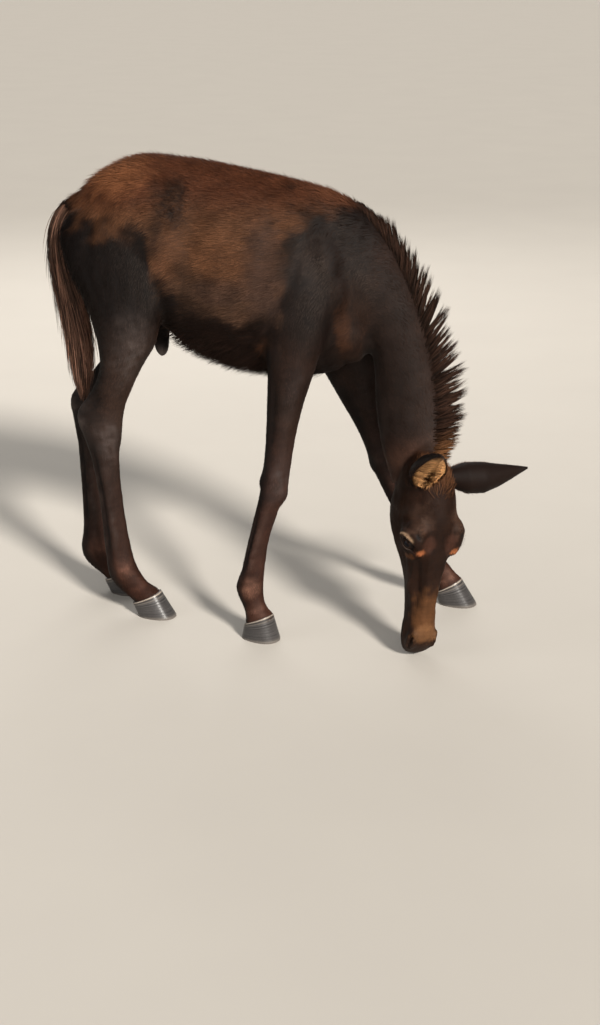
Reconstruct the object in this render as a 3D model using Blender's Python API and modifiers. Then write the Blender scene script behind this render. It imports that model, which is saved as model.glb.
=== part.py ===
"""A mule foal grazing, modelled life size as a still figure, from named sizes and sections.

World axes while modelling: +X is where the trunk heads, +Y its left side, +Z up, in metres,
with the floor at Z = 0 and the trunk over X = 0. The last step moves the whole figure so that
the middle of its bounding box stands over the origin.
"""

import bmesh
import bpy
import numpy as np
from math import radians
from mathutils import Matrix, Vector
from mathutils.bvhtree import BVHTree

FIGURE = "mule_foal"
GAP = 0.0003

SKIN_VOXEL = 0.0036
SKIN_ROUNDS = 12
SOFTEN_SHARE = 0.5
BODY_TRIANGLES = 5000
FINE_TRIANGLES = 10200

# Sides of the loft rings, and the powers of their ovals toward the first and second edge.
LIMB_SIDES = 20
TRUNK_SIDES = 28
TRUNK_POWERS = (1.75, 2.2)
NECK_SIDES = 24
NECK_POWERS = (1.8, 2.1)
HEAD_SIDES = 24
HEAD_POWERS = (2.3, 2.1)
HOOF_SIDES = 18
HOOF_POWERS = (2.3, 2.6)
MANE_SIDES = 8
TAIL_SIDES = 12
ROW_STEPS = 3

COAT_BROWN = (0.060, 0.026, 0.014)
COAT_BLACK = (0.012, 0.009, 0.008)
HOOF_SLATE = (0.055, 0.055, 0.060)
EYE_DARK = (0.008, 0.005, 0.004)

# Sections of the trunk, from the rump to the breast.
# Columns: upper x, upper z, lower x, lower z, middle y, half width, turn about Z in degrees.
TRUNK = (
    (-0.338, 0.886, -0.330, 0.800, 0.0, 0.045, 0),
    (-0.305, 0.932, -0.300, 0.745, 0.0, 0.085, 0),
    (-0.255, 0.966, -0.250, 0.705, 0.0, 0.116, 0),
    (-0.190, 0.988, -0.190, 0.670, 0.0, 0.132, 0),
    (-0.120, 0.986, -0.120, 0.618, 0.0, 0.134, 0),
    (-0.050, 0.980, -0.050, 0.577, 0.0, 0.133, 0),
    (0.020, 0.969, 0.020, 0.557, 0.0, 0.138, 0),
    (0.090, 0.957, 0.090, 0.549, 0.0, 0.136, 0),
    (0.160, 0.943, 0.160, 0.546, 0.0, 0.121, 0),
    (0.220, 0.927, 0.222, 0.555, 0.0, 0.098, 0),
    (0.262, 0.895, 0.265, 0.590, 0.0, 0.078, 0),
    (0.288, 0.840, 0.292, 0.640, 0.0, 0.050, 0),
)

# Sections of the neck, from inside the trunk to behind the poll: crest, then throat.
NECK = (
    (0.160, 0.938, 0.150, 0.640, 0.0, 0.096, 0),
    (0.235, 0.921, 0.235, 0.602, 0.0, 0.086, 0),
    (0.287, 0.888, 0.276, 0.600, 0.0, 0.072, 0),
    (0.332, 0.836, 0.294, 0.600, -0.002, 0.060, 0),
    (0.374, 0.762, 0.301, 0.590, -0.006, 0.052, 0),
    (0.408, 0.678, 0.305, 0.568, -0.012, 0.047, 0),
    (0.434, 0.590, 0.308, 0.530, -0.020, 0.043, 0),
    (0.450, 0.512, 0.314, 0.475, -0.030, 0.041, -5),
    (0.460, 0.452, 0.324, 0.418, -0.043, 0.041, -15),
    (0.464, 0.412, 0.338, 0.372, -0.058, 0.042, -28),
    (0.462, 0.385, 0.350, 0.335, -0.074, 0.038, -42),
)

# Sections of each limb, from inside the trunk down into the hoof: front edge, then back edge.
RIGHT_HIND = (
    (-0.160, 0.925, -0.265, 0.915, -0.055, 0.018, 0),
    (-0.110, 0.880, -0.325, 0.870, -0.070, 0.045, 0),
    (-0.085, 0.800, -0.343, 0.822, -0.083, 0.057, 0),
    (-0.095, 0.722, -0.322, 0.765, -0.092, 0.058, 0),
    (-0.118, 0.665, -0.284, 0.690, -0.100, 0.051, 0),
    (-0.135, 0.610, -0.263, 0.614, -0.102, 0.043, 0),
    (-0.171, 0.555, -0.266, 0.552, -0.095, 0.035, 0),
    (-0.197, 0.500, -0.290, 0.497, -0.086, 0.029, 0),
    (-0.216, 0.452, -0.319, 0.447, -0.078, 0.027, 0),
    (-0.225, 0.402, -0.309, 0.392, -0.075, 0.026, 0),
    (-0.232, 0.347, -0.295, 0.342, -0.073, 0.021, 0),
    (-0.227, 0.250, -0.282, 0.245, -0.070, 0.0185, 0),
    (-0.216, 0.160, -0.276, 0.155, -0.067, 0.0205, 0),
    (-0.203, 0.108, -0.268, 0.098, -0.066, 0.0245, 0),
    (-0.178, 0.072, -0.241, 0.050, -0.066, 0.0230, 0),
    (-0.147, 0.054, -0.208, 0.024, -0.066, 0.0270, 0),
    (-0.138, 0.040, -0.200, 0.012, -0.066, 0.0260, 0),
)
LEFT_HIND = (
    (-0.160, 0.925, -0.265, 0.915, 0.055, 0.018, 0),
    (-0.110, 0.880, -0.325, 0.870, 0.070, 0.045, 0),
    (-0.088, 0.800, -0.350, 0.822, 0.083, 0.057, 0),
    (-0.105, 0.722, -0.340, 0.765, 0.092, 0.058, 0),
    (-0.138, 0.660, -0.315, 0.690, 0.098, 0.051, 0),
    (-0.170, 0.605, -0.303, 0.614, 0.095, 0.043, 0),
    (-0.220, 0.550, -0.316, 0.552, 0.085, 0.035, 0),
    (-0.257, 0.500, -0.350, 0.497, 0.073, 0.029, 0),
    (-0.285, 0.452, -0.390, 0.443, 0.063, 0.027, 0),
    (-0.302, 0.402, -0.388, 0.390, 0.059, 0.026, 0),
    (-0.315, 0.347, -0.380, 0.340, 0.057, 0.021, 0),
    (-0.320, 0.250, -0.375, 0.243, 0.055, 0.0185, 0),
    (-0.312, 0.160, -0.373, 0.153, 0.053, 0.0205, 0),
    (-0.305, 0.106, -0.376, 0.096, 0.052, 0.0245, 0),
    (-0.282, 0.074, -0.350, 0.050, 0.052, 0.0230, 0),
    (-0.257, 0.054, -0.318, 0.024, 0.052, 0.0270, 0),
    (-0.248, 0.040, -0.310, 0.012, 0.052, 0.0260, 0),
)
RIGHT_FORE = (
    (0.225, 0.865, 0.145, 0.880, -0.045, 0.018, 0),
    (0.258, 0.810, 0.110, 0.830, -0.062, 0.040, 0),
    (0.248, 0.735, 0.097, 0.735, -0.083, 0.044, 0),
    (0.232, 0.670, 0.096, 0.655, -0.094, 0.045, 0),
    (0.214, 0.610, 0.103, 0.602, -0.100, 0.042, 0),
    (0.202, 0.570, 0.103, 0.565, -0.103, 0.037, 0),
    (0.184, 0.515, 0.103, 0.510, -0.107, 0.032, 0),
    (0.166, 0.433, 0.101, 0.430, -0.112, 0.026, 0),
    (0.155, 0.360, 0.096, 0.355, -0.115, 0.0270, 0),
    (0.147, 0.315, 0.088, 0.310, -0.118, 0.0260, 0),
    (0.129, 0.270, 0.077, 0.265, -0.121, 0.0210, -4),
    (0.113, 0.215, 0.064, 0.210, -0.125, 0.0180, -8),
    (0.106, 0.160, 0.052, 0.155, -0.127, 0.0190, -12),
    (0.102, 0.118, 0.043, 0.105, -0.128, 0.0225, -15),
    (0.105, 0.082, 0.055, 0.060, -0.130, 0.0215, -17),
    (0.123, 0.054, 0.062, 0.026, -0.131, 0.0270, -17),
    (0.130, 0.040, 0.068, 0.012, -0.132, 0.0260, -17),
)
LEFT_FORE = (
    (0.230, 0.865, 0.150, 0.880, 0.045, 0.018, 0),
    (0.262, 0.810, 0.115, 0.830, 0.062, 0.040, 0),
    (0.268, 0.735, 0.115, 0.725, 0.083, 0.044, 0),
    (0.270, 0.668, 0.125, 0.640, 0.090, 0.043, 0),
    (0.268, 0.612, 0.148, 0.578, 0.093, 0.039, 0),
    (0.272, 0.565, 0.170, 0.530, 0.096, 0.035, 0),
    (0.282, 0.510, 0.198, 0.480, 0.100, 0.031, 0),
    (0.305, 0.430, 0.240, 0.405, 0.110, 0.0260, 0),
    (0.326, 0.362, 0.268, 0.337, 0.120, 0.0270, 0),
    (0.341, 0.318, 0.283, 0.293, 0.127, 0.0260, 0),
    (0.353, 0.268, 0.303, 0.247, 0.135, 0.0210, 0),
    (0.374, 0.212, 0.328, 0.191, 0.145, 0.0180, -2),
    (0.399, 0.158, 0.348, 0.133, 0.153, 0.0190, -4),
    (0.424, 0.118, 0.366, 0.090, 0.160, 0.0225, -6),
    (0.448, 0.084, 0.396, 0.052, 0.166, 0.0215, -6),
    (0.470, 0.056, 0.416, 0.022, 0.171, 0.0270, -6),
    (0.480, 0.042, 0.424, 0.010, 0.172, 0.0260, -6),
)

# Bony and muscled places on the body: centre, then half sizes along X, Y and Z.
BODY_SWELLINGS = (
    ((0.255, 0.0, 0.650), (0.050, 0.072, 0.075)),
    ((-0.150, -0.062, 0.908), (0.085, 0.042, 0.052)),
    ((-0.150, 0.062, 0.908), (0.085, 0.042, 0.052)),
    ((0.232, -0.070, 0.735), (0.036, 0.036, 0.055)),
    ((0.240, 0.070, 0.730), (0.036, 0.036, 0.055)),
)

# Sections of the head in its own frame: down from the poll, then the face, the jaw side,
# and the half width.
HEAD_PLACE = (0.449, -0.112, 0.417)
HEAD_DOWN = (-0.048, -0.067, -0.997)
HEAD_FACE = (0.623, -0.782, 0.023)
HEAD = (
    (-0.004, 0.000, -0.045, 0.022),
    (0.012, 0.026, -0.066, 0.038),
    (0.040, 0.048, -0.084, 0.050),
    (0.080, 0.065, -0.093, 0.056),
    (0.120, 0.070, -0.095, 0.058),
    (0.160, 0.066, -0.092, 0.054),
    (0.200, 0.060, -0.080, 0.045),
    (0.240, 0.053, -0.062, 0.036),
    (0.280, 0.047, -0.048, 0.031),
    (0.320, 0.042, -0.039, 0.030),
    (0.350, 0.040, -0.036, 0.032),
    (0.375, 0.036, -0.035, 0.033),
    (0.395, 0.024, -0.031, 0.030),
    (0.408, 0.008, -0.022, 0.022),
    (0.413, -0.002, -0.012, 0.010),
)
# Swellings of the head in the same frame: down, face and side, then half sizes the same way.
HEAD_SWELLINGS = (
    ((0.146, 0.027, 0.039), (0.054, 0.040, 0.027)),
    ((0.115, -0.035, 0.034), (0.070, 0.052, 0.022)),
    ((0.368, 0.016, 0.020), (0.026, 0.020, 0.015)),
    ((0.392, -0.022, 0.000), (0.018, 0.016, 0.022)),
    ((0.250, 0.014, 0.026), (0.060, 0.010, 0.010)),
)

# A lock of hair: how far along its path each section lies, and its width there.
LOCK_PATH = (0.0, 0.35, 0.70, 1.0)
LOCK_WIDTH = (0.80, 1.0, 0.85, 0.12)
LOCK_FLAT = 0.35
HAIR_SEED = 11

# The mane along the crest: fractional row of the neck, length of the hair there, and how
# much it leans back toward the withers.
MANE = (
    (2.05, 0.008, 0.30),
    (2.60, 0.017, 0.30),
    (3.20, 0.034, 0.30),
    (4.00, 0.050, 0.32),
    (5.00, 0.056, 0.35),
    (6.00, 0.052, 0.30),
    (7.00, 0.046, 0.20),
    (7.80, 0.040, 0.08),
    (8.35, 0.034, 0.00),
)
MANE_STEP = 0.0120
MANE_ROOT = 0.011
MANE_HALF = 0.009
MANE_CORE = 0.48
MANE_ASIDE = 0.0050
MANE_LOCK = (0.0215, 0.0070)
# How far the locks of the mane differ: in length, in lean along the neck, in lean aside, and
# in their bend aside and back.
MANE_LENGTHS = (0.82, 1.12)
MANE_LEANS = 0.12
MANE_ASIDES = (0.0, 0.2)
MANE_BENDS = (-0.10, 0.20)
MANE_DROOPS = (0.0, 0.15)

EYES = {"eye_right": 1, "eye_left": -1}
EYE_RADIUS = 0.0175
EYE_DOWN = 0.165
EYE_FACE = 0.008
EYE_PROUD = 0.0010
EYE_LOOK = (-0.02, 0.36, 0.93)
EYE_SLANT = (0.68, 0.73)

LID_LONG = 57
LID_WIDE = 36
LID_THICK = 0.0028
LID_RISE = 0.0010
LID_POINTS = 14
NOSTRIL = (0.376, 0.024, 0.027)
NOSTRIL_SIZES = (0.010, 0.006, 0.008)
MOUTH_CORNER = 0.345
MOUTH_LEVEL = -0.008
MOUTH_WIDTH = 0.0024
MOUTH_SWEEP = 100
MOUTH_POINTS = 13
# How near and how far the cutter of the opening between the lids reaches, in eye radii.
OPENING_REACH = (0.5, 2.0)

HOOF_LENGTH = 0.084
HOOF_WIDTH = 0.064
CORONET_WIDTH = 0.053
# Share of the way up the wall, and the size there against the straight wall.
HOOF_RINGS = ((0.0, 0.97), (0.05, 1.0), (0.5, 1.0), (0.95, 1.0), (1.0, 0.985))
# Each hoof: middle of the sole, and heading in degrees.
HOOVES = {
    "hoof_hind_right": ((-0.158, -0.066), -5),
    "hoof_hind_left": ((-0.266, 0.052), 0),
    "hoof_fore_right": ((0.096, -0.131), -17),
    "hoof_fore_left": ((0.462, 0.173), -6),
}
LIMBS = {
    "hind_right": RIGHT_HIND,
    "hind_left": LEFT_HIND,
    "fore_right": RIGHT_FORE,
    "fore_left": LEFT_FORE,
}

# Stations of an ear: share of its length, half width, wrap in degrees each side of its back,
# and how far it bows toward its opening.
EAR_LENGTH = 0.176
EAR_WALL = 0.0042
EAR_POINTS = 9
EAR = (
    (-0.09, 0.0150, 150, 0.000),
    (0.05, 0.0215, 138, 0.000),
    (0.22, 0.0310, 108, 0.001),
    (0.42, 0.0320, 92, 0.003),
    (0.62, 0.0270, 84, 0.005),
    (0.80, 0.0185, 80, 0.005),
    (0.93, 0.0095, 78, 0.003),
    (1.00, 0.0022, 76, 0.000),
)
# Each ear: root in the head's frame, then world directions of its tip and of its opening.
EARS = {
    "ear_right": ((0.037, 0.014, 0.035), (0.38, -0.72, 0.575), (0.12, -0.56, -0.82)),
    "ear_left": ((0.037, 0.010, -0.036), (0.84, 0.54, 0.02), (-0.50, 0.80, -0.25)),
}

# Sections of the tail below its dock, in the same columns as the trunk.
TAIL = (
    (-0.341, 0.862, -0.364, 0.888, 0.0, 0.019, 0),
    (-0.352, 0.838, -0.388, 0.854, 0.0, 0.025, 0),
    (-0.353, 0.800, -0.399, 0.806, 0.0, 0.030, 0),
    (-0.340, 0.740, -0.396, 0.742, 0.0, 0.034, 0),
    (-0.322, 0.670, -0.385, 0.672, 0.0, 0.037, 0),
    (-0.307, 0.600, -0.374, 0.600, 0.0, 0.037, 0),
    (-0.309, 0.540, -0.366, 0.540, 0.0, 0.032, 0),
    (-0.322, 0.490, -0.358, 0.490, 0.0, 0.020, 0),
    (-0.335, 0.466, -0.347, 0.466, 0.0, 0.006, 0),
)

# The core of the tail against that outline, by row, and the locks that grow from it: rows
# of their roots, how many rows each runs down, and how many stand round each row.
TAIL_CORE = ((0.0, 1.0), (1.0, 0.80), (2.0, 0.56), (6.0, 0.50), (8.0, 0.50))
TAIL_ROOTS = (0.75, 1.5, 2.3, 3.2, 4.1, 5.0, 5.9)
TAIL_ROUND = 4
TAIL_RUN = 2.1
TAIL_LOCK = (0.0270, 0.0085)
TAIL_TURNS = 0.15
TAIL_RUNS = (0.85, 1.1)
# A lock's depth in the outline: at its root, and the power with which it comes out.
TAIL_ROOT_DEPTH = 0.25
TAIL_DEPTH_POWER = 0.8

# The fringe under the belly: first and last X, how many locks, and size of one.
FRINGE_X = (-0.055, 0.150)
FRINGE_LOCKS = 12
FRINGE_LOCK = (0.0140, 0.0055)
FRINGE_LENGTH = 0.038
FRINGE_LENGTHS = (0.85, 1.15)
FRINGE_Y = (-0.035, 0.015)
FRINGE_ASIDES = 0.15
FRINGE_AIM = (-0.80, -0.60)
FRINGE_DROP = (0.10, 0.0, -0.12)
FRINGE_SINK = (0.008, 0.0, 0.010)

# The tuft between the ears: root row and side in the head's frame, and length.
FORELOCK = (
    (0.012, -0.018, 0.036),
    (0.010, -0.006, 0.042),
    (0.010, 0.006, 0.042),
    (0.012, 0.018, 0.036),
    (0.024, -0.012, 0.040),
    (0.022, 0.000, 0.046),
    (0.024, 0.012, 0.040),
    (0.038, -0.006, 0.036),
    (0.038, 0.006, 0.036),
)
FORELOCK_ROOT = 0.006
FORELOCK_LOCK = (0.0150, 0.0060)
FORELOCK_START = 0.15
FORELOCK_AIM = (0.40, 0.92)
FORELOCK_ASIDES = 0.2
FORELOCK_FALL = 0.45

# The dock inside the rump, and the sheath under the groin.
DOCK = (
    (-0.290, 0.880, -0.300, 0.925, 0.0, 0.020, 0),
    (-0.325, 0.868, -0.335, 0.905, 0.0, 0.021, 0),
    (-0.341, 0.862, -0.364, 0.888, 0.0, 0.022, 0),
    (-0.354, 0.840, -0.378, 0.864, 0.0, 0.021, 0),
)
SHEATH = (
    (-0.130, 0.700, -0.205, 0.700, -0.004, 0.034, 0),
    (-0.132, 0.640, -0.198, 0.650, -0.004, 0.028, 0),
    (-0.136, 0.600, -0.178, 0.606, -0.004, 0.019, 0),
    (-0.140, 0.576, -0.171, 0.580, -0.004, 0.015, 0),
    (-0.149, 0.564, -0.162, 0.566, -0.004, 0.007, 0),
)

# Seams between the nodes, as fractional row numbers of a limb's table, and others in place,
# with the length and breadth of the thin box that cuts each.
THIGH_ROW = 5.0
FOREARM_ROW = 5.35
SHANK_ROW = 9.5
FETLOCK_ROW = 12.5
CORONET_ROW = 14.85
POLL_ROW = 9.0
LIMB_CUTS = (0.150, 0.100, 0.090)
LIMB_BREADTH = 0.108
CORONET_CUT = (0.11, 0.09)
CORONET_BOX = 0.060
POLL_CUT = (0.20, 0.16)
NECK_SEAM = ((0.262, 0.0, 0.915), (0.287, 0.0, 0.585))
NECK_CUT = (0.40, 0.34)
LOIN_MIDDLE = (-0.070, 0.0, 0.780)
LOIN_CUT = (0.52, 0.40)
DOCK_BOX = (0.050, 0.054, 0.040)
EAR_SEAM = 0.045
EAR_CUT = 0.070

# Points well inside the parts that the seams leave.
TORSO_MIDDLE = (0.09, 0.0, 0.75)
HIND_MIDDLE = (-0.20, 0.0, 0.85)
BODY_MIDDLE = (0.0, 0.0, 0.70)
HEAD_MIDDLE = (0.449, -0.112, 0.267)
NECK_MIDDLE_ROW = 5.0

COLOURS = (
    ("hoof", HOOF_SLATE, 0.45),
    ("eye", EYE_DARK, 0.08),
    ("head", COAT_BROWN, 0.75),
    ("torso", COAT_BROWN, 0.75),
    ("hindquarters", COAT_BROWN, 0.75),
    ("", COAT_BLACK, 0.75),
)


def smooth_rows(rows, steps):
    """Rows between the given ones, on a Catmull-Rom curve through every column."""
    table = np.array(rows, dtype=float)
    padded = np.vstack([2 * table[0] - table[1], table, 2 * table[-1] - table[-2]])
    out = []
    for i in range(1, len(table)):
        a, b, c, d = padded[i - 1], padded[i], padded[i + 1], padded[i + 2]
        for step in range(steps):
            t = step / steps
            out.append(0.5 * (2 * b + (c - a) * t + (2 * a - 5 * b + 4 * c - d) * t * t
                              + (3 * b - a - 3 * c + d) * t ** 3))
    out.append(table[-1])
    return np.array(out)


def section_frame(row):
    """Middle, half axis from it to the first edge, and unit side axis of one section row."""
    upper_x, upper_z, lower_x, lower_z, y, half, turn = row
    middle = Vector(((upper_x + lower_x) / 2, y, (upper_z + lower_z) / 2))
    reach = Vector(((upper_x - lower_x) / 2, 0.0, (upper_z - lower_z) / 2))
    spin = Matrix.Rotation(radians(turn), 3, "Z")
    return middle, spin @ reach, spin @ Vector((0.0, 1.0, 0.0))


def oval(middle, reach, side, sides, power_out=2.0, power_in=2.0):
    """One ring of a loft: a superellipse, with its own power on each half of the long axis."""
    points = []
    for k in range(sides):
        angle = 2 * np.pi * k / sides
        c, s = np.cos(angle), np.sin(angle)
        power = power_out if c > 0 else power_in
        along = np.sign(c) * abs(c) ** (2 / power)
        across = np.sign(s) * abs(s) ** (2 / power)
        points.append(middle + reach * float(along) + side * float(across))
    return points


def loft(name, rings):
    """A closed mesh through rings of equal length, with flat ends."""
    sides = len(rings[0])
    points = [tuple(p) for ring in rings for p in ring]
    faces = []
    for r in range(len(rings) - 1):
        for k in range(sides):
            n = (k + 1) % sides
            faces.append((r * sides + k, r * sides + n, (r + 1) * sides + n, (r + 1) * sides + k))
    faces.append(tuple(reversed(range(sides))))
    faces.append(tuple((len(rings) - 1) * sides + k for k in range(sides)))
    mesh = bpy.data.meshes.new(name)
    mesh.from_pydata(points, [], faces)
    outward(mesh)
    thing = bpy.data.objects.new(name, mesh)
    bpy.context.scene.collection.objects.link(thing)
    return thing


def outward(mesh):
    """Turns every face of a closed mesh outward."""
    work = bmesh.new()
    work.from_mesh(mesh)
    bmesh.ops.recalc_face_normals(work, faces=work.faces)
    if work.calc_volume(signed=True) < 0:
        bmesh.ops.reverse_faces(work, faces=work.faces)
    work.to_mesh(mesh)
    work.free()


def limb(name, rows, powers=(2.0, 2.0), sides=LIMB_SIDES):
    """A closed loft through section rows of the body."""
    rings = []
    for row in smooth_rows(rows, ROW_STEPS):
        middle, reach, side = section_frame(row)
        rings.append(oval(middle, reach, side * row[5], sides, *powers))
    return loft(name, rings)


def head_matrix():
    """The head's frame: columns are down the face, out of the face, and to its right side."""
    down = Vector(HEAD_DOWN).normalized()
    side = down.cross(Vector(HEAD_FACE)).normalized()
    face = side.cross(down)
    turn = Matrix((down, face, side)).transposed()
    return Matrix.Translation(HEAD_PLACE) @ turn.to_4x4()


def head_loft(frame):
    rings = []
    turn = frame.to_3x3()
    for down, face, jaw, half in smooth_rows(HEAD, ROW_STEPS):
        middle = frame @ Vector((down, (face + jaw) / 2, 0.0))
        reach = turn @ Vector((0.0, (face - jaw) / 2, 0.0))
        side = turn @ Vector((0.0, 0.0, half))
        rings.append(oval(middle, reach, side, HEAD_SIDES, *HEAD_POWERS))
    return loft("head_core", rings)


def swelling(name, middle, sizes, frame=Matrix.Identity(4)):
    """An ellipsoid with the given half sizes, in the frame's axes."""
    bpy.ops.mesh.primitive_uv_sphere_add(segments=14, ring_count=9, radius=1.0)
    thing = bpy.context.object
    thing.name = name
    thing.matrix_world = frame @ Matrix.Translation(middle) @ Matrix.Diagonal((*sizes, 1.0))
    bpy.context.view_layer.update()
    thing.data.transform(thing.matrix_world)
    thing.matrix_world = Matrix.Identity(4)
    return thing


def merge(name, things):
    """One object holding the meshes of the given ones, which are removed."""
    work = bmesh.new()
    for thing in things:
        work.from_mesh(thing.data)
    mesh = bpy.data.meshes.new(name)
    work.to_mesh(mesh)
    work.free()
    for thing in things:
        bpy.data.objects.remove(thing)
    merged = bpy.data.objects.new(name, mesh)
    bpy.context.scene.collection.objects.link(merged)
    return merged


def applied(thing):
    """The object with its modifiers applied."""
    bpy.context.view_layer.update()
    seen = thing.evaluated_get(bpy.context.evaluated_depsgraph_get())
    mesh = bpy.data.meshes.new_from_object(seen)
    thing.modifiers.clear()
    thing.data = mesh
    return thing


def keep_largest(thing):
    """Only the largest closed surface of the object's mesh."""
    islands = split_islands(thing.data)
    largest = max(islands, key=lambda faces: sum(face_areas(thing.data, faces)))
    keep_faces(thing.data, set(largest))
    return thing


def face_areas(mesh, faces):
    return [mesh.polygons[f].area for f in faces]


def split_islands(mesh):
    """Lists of face numbers, one for each connected part of the mesh."""
    owner = list(range(len(mesh.vertices)))

    def root(v):
        while owner[v] != v:
            owner[v] = owner[owner[v]]
            v = owner[v]
        return v

    for edge in mesh.edges:
        a, b = root(edge.vertices[0]), root(edge.vertices[1])
        if a != b:
            owner[a] = b
    islands = {}
    for face in mesh.polygons:
        islands.setdefault(root(face.vertices[0]), []).append(face.index)
    return list(islands.values())


def keep_faces(mesh, kept):
    work = bmesh.new()
    work.from_mesh(mesh)
    work.faces.ensure_lookup_table()
    dropped = [face for face in work.faces if face.index not in kept]
    bmesh.ops.delete(work, geom=dropped, context="FACES")
    work.to_mesh(mesh)
    work.free()


def fused(thing, voxel, rounds):
    """The object's overlapping shells as one smooth skin."""
    remesh = thing.modifiers.new("Fuse", "REMESH")
    remesh.mode = "VOXEL"
    remesh.voxel_size = voxel
    soften = thing.modifiers.new("Soften", "SMOOTH")
    soften.factor = SOFTEN_SHARE
    soften.iterations = rounds
    return keep_largest(applied(thing))


def thinned(thing, name, triangles):
    """A copy of the object with about the given number of triangles."""
    copy = bpy.data.objects.new(name, thing.data.copy())
    bpy.context.scene.collection.objects.link(copy)
    reduce = copy.modifiers.new("Thin", "DECIMATE")
    reduce.ratio = triangles / (2 * len(copy.data.polygons))
    reduce.use_collapse_triangulate = True
    return applied(copy)


def boolean(thing, other, operation, solver="EXACT"):
    """The object joined with, or cut by, another object or collection, which is removed."""
    modifier = thing.modifiers.new("Boolean", "BOOLEAN")
    modifier.operation = operation
    modifier.solver = solver
    if isinstance(other, bpy.types.Collection):
        modifier.operand_type = "COLLECTION"
        modifier.collection = other
    else:
        modifier.object = other
    applied(thing)
    if isinstance(other, bpy.types.Collection):
        for member in list(other.objects):
            bpy.data.objects.remove(member)
        bpy.data.collections.remove(other)
    else:
        bpy.data.objects.remove(other)
    return thing


def slab(name, middle, along, side, size, across, thickness, shift=0.0):
    """A thin box whose broad faces hold the along and side axes."""
    along, side = Vector(along).normalized(), Vector(side).normalized()
    normal = along.cross(side).normalized()
    bpy.ops.mesh.primitive_cube_add(size=1.0)
    box = bpy.context.object
    box.name = name
    turn = Matrix((along, side, normal)).transposed().to_4x4()
    where = Vector(middle) + normal * shift
    box.data.transform(Matrix.Translation(where) @ turn
                       @ Matrix.Diagonal((size, across, thickness, 1.0)))
    outward(box.data)
    return box


def gather(name, things):
    """A cutter collection with the given objects."""
    collection = bpy.data.collections.new(name)
    bpy.context.scene.collection.children.link(collection)
    for thing in things:
        for old in list(thing.users_collection):
            old.objects.unlink(thing)
        collection.objects.link(thing)
        thing.hide_render = True
        thing.display_type = "WIRE"
    return collection


def seam_frame(rows, index):
    """The section frame at a fractional row number."""
    low = int(index)
    share = index - low
    row = np.array(rows[low]) * (1 - share) + np.array(rows[min(low + 1, len(rows) - 1)]) * share
    return section_frame(row)


def crest(row):
    """A point on the crest at a fractional row, and unit axes down the neck, out, and aside."""
    before, after = seam_frame(NECK, row - 0.1), seam_frame(NECK, row + 0.1)
    middle, reach, side = seam_frame(NECK, row)
    down = ((after[0] + after[1]) - (before[0] + before[1])).normalized()
    return middle + reach, down, side.cross(down).normalized() * -1.0, side


def lock(name, points, flat, sizes):
    """A flat lock along a path of points: four-sided sections that taper to a tip."""
    rings = []
    width, thick = sizes
    for k, share in enumerate(LOCK_WIDTH):
        along = (points[min(k + 1, len(points) - 1)] - points[max(k - 1, 0)]).normalized()
        across = (flat - along * flat.dot(along)).normalized()
        up = along.cross(across) * (thick / 2 * max(share, LOCK_FLAT))
        across = across * (width / 2 * share)
        rings.append([points[k] + across, points[k] + up, points[k] - across, points[k] - up])
    return loft(name, rings)


def at_row(table, row):
    """The other columns of a table at a fractional row given by its first column."""
    table = np.array(table)
    return [float(np.interp(row, table[:, 0], table[:, c])) for c in range(1, table.shape[1])]


def mane_core():
    """The dense foot of the upright mane, as one tapering fin along the crest."""
    rings = []
    for row, length, _ in smooth_rows(MANE, 2):
        point, _, out, side = crest(float(row))
        root, tip = point - out * MANE_ROOT, point + out * float(length * MANE_CORE)
        rings.append(oval((root + tip) / 2, (tip - root) / 2, side * MANE_HALF, MANE_SIDES))
    return loft("mane", rings)


def mane_locks(rng):
    """Locks at equal steps along the crest, to one side and the other by turns."""
    rows = np.linspace(MANE[0][0], MANE[-1][0], 100)
    spots = [crest(float(row))[0] for row in rows]
    walked = np.cumsum([0.0] + [(b - a).length for a, b in zip(spots, spots[1:])])
    locks = []
    for k, row in enumerate(np.interp(np.arange(0.0, walked[-1], MANE_STEP), walked, rows)):
        point, down, out, side = crest(float(row))
        length, lean = at_row(MANE, row)
        length = length * rng.uniform(*MANE_LENGTHS) + MANE_ROOT
        turn = 1 if k % 2 else -1
        lean += rng.uniform(-MANE_LEANS, MANE_LEANS)
        aim = out - down * lean + side * turn * rng.uniform(*MANE_ASIDES)
        bend = side * turn * rng.uniform(*MANE_BENDS) - down * rng.uniform(*MANE_DROOPS)
        root = point - out * MANE_ROOT + side * turn * MANE_ASIDE
        path = [root + aim.normalized() * (length * s) + bend * (length * s * s)
                for s in LOCK_PATH]
        locks.append(lock("mane_lock", path, down, MANE_LOCK))
    return locks


def tail_core():
    """The dense middle of the tail, which narrows from the dock to half the outline."""
    rings = []
    for k, row in enumerate(smooth_rows(TAIL, 1)):
        middle, reach, side = section_frame(row)
        share = at_row(TAIL_CORE, k)[0]
        rings.append(oval(middle, reach * share, side * (row[5] * share), TAIL_SIDES))
    return loft("tail", rings)


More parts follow.
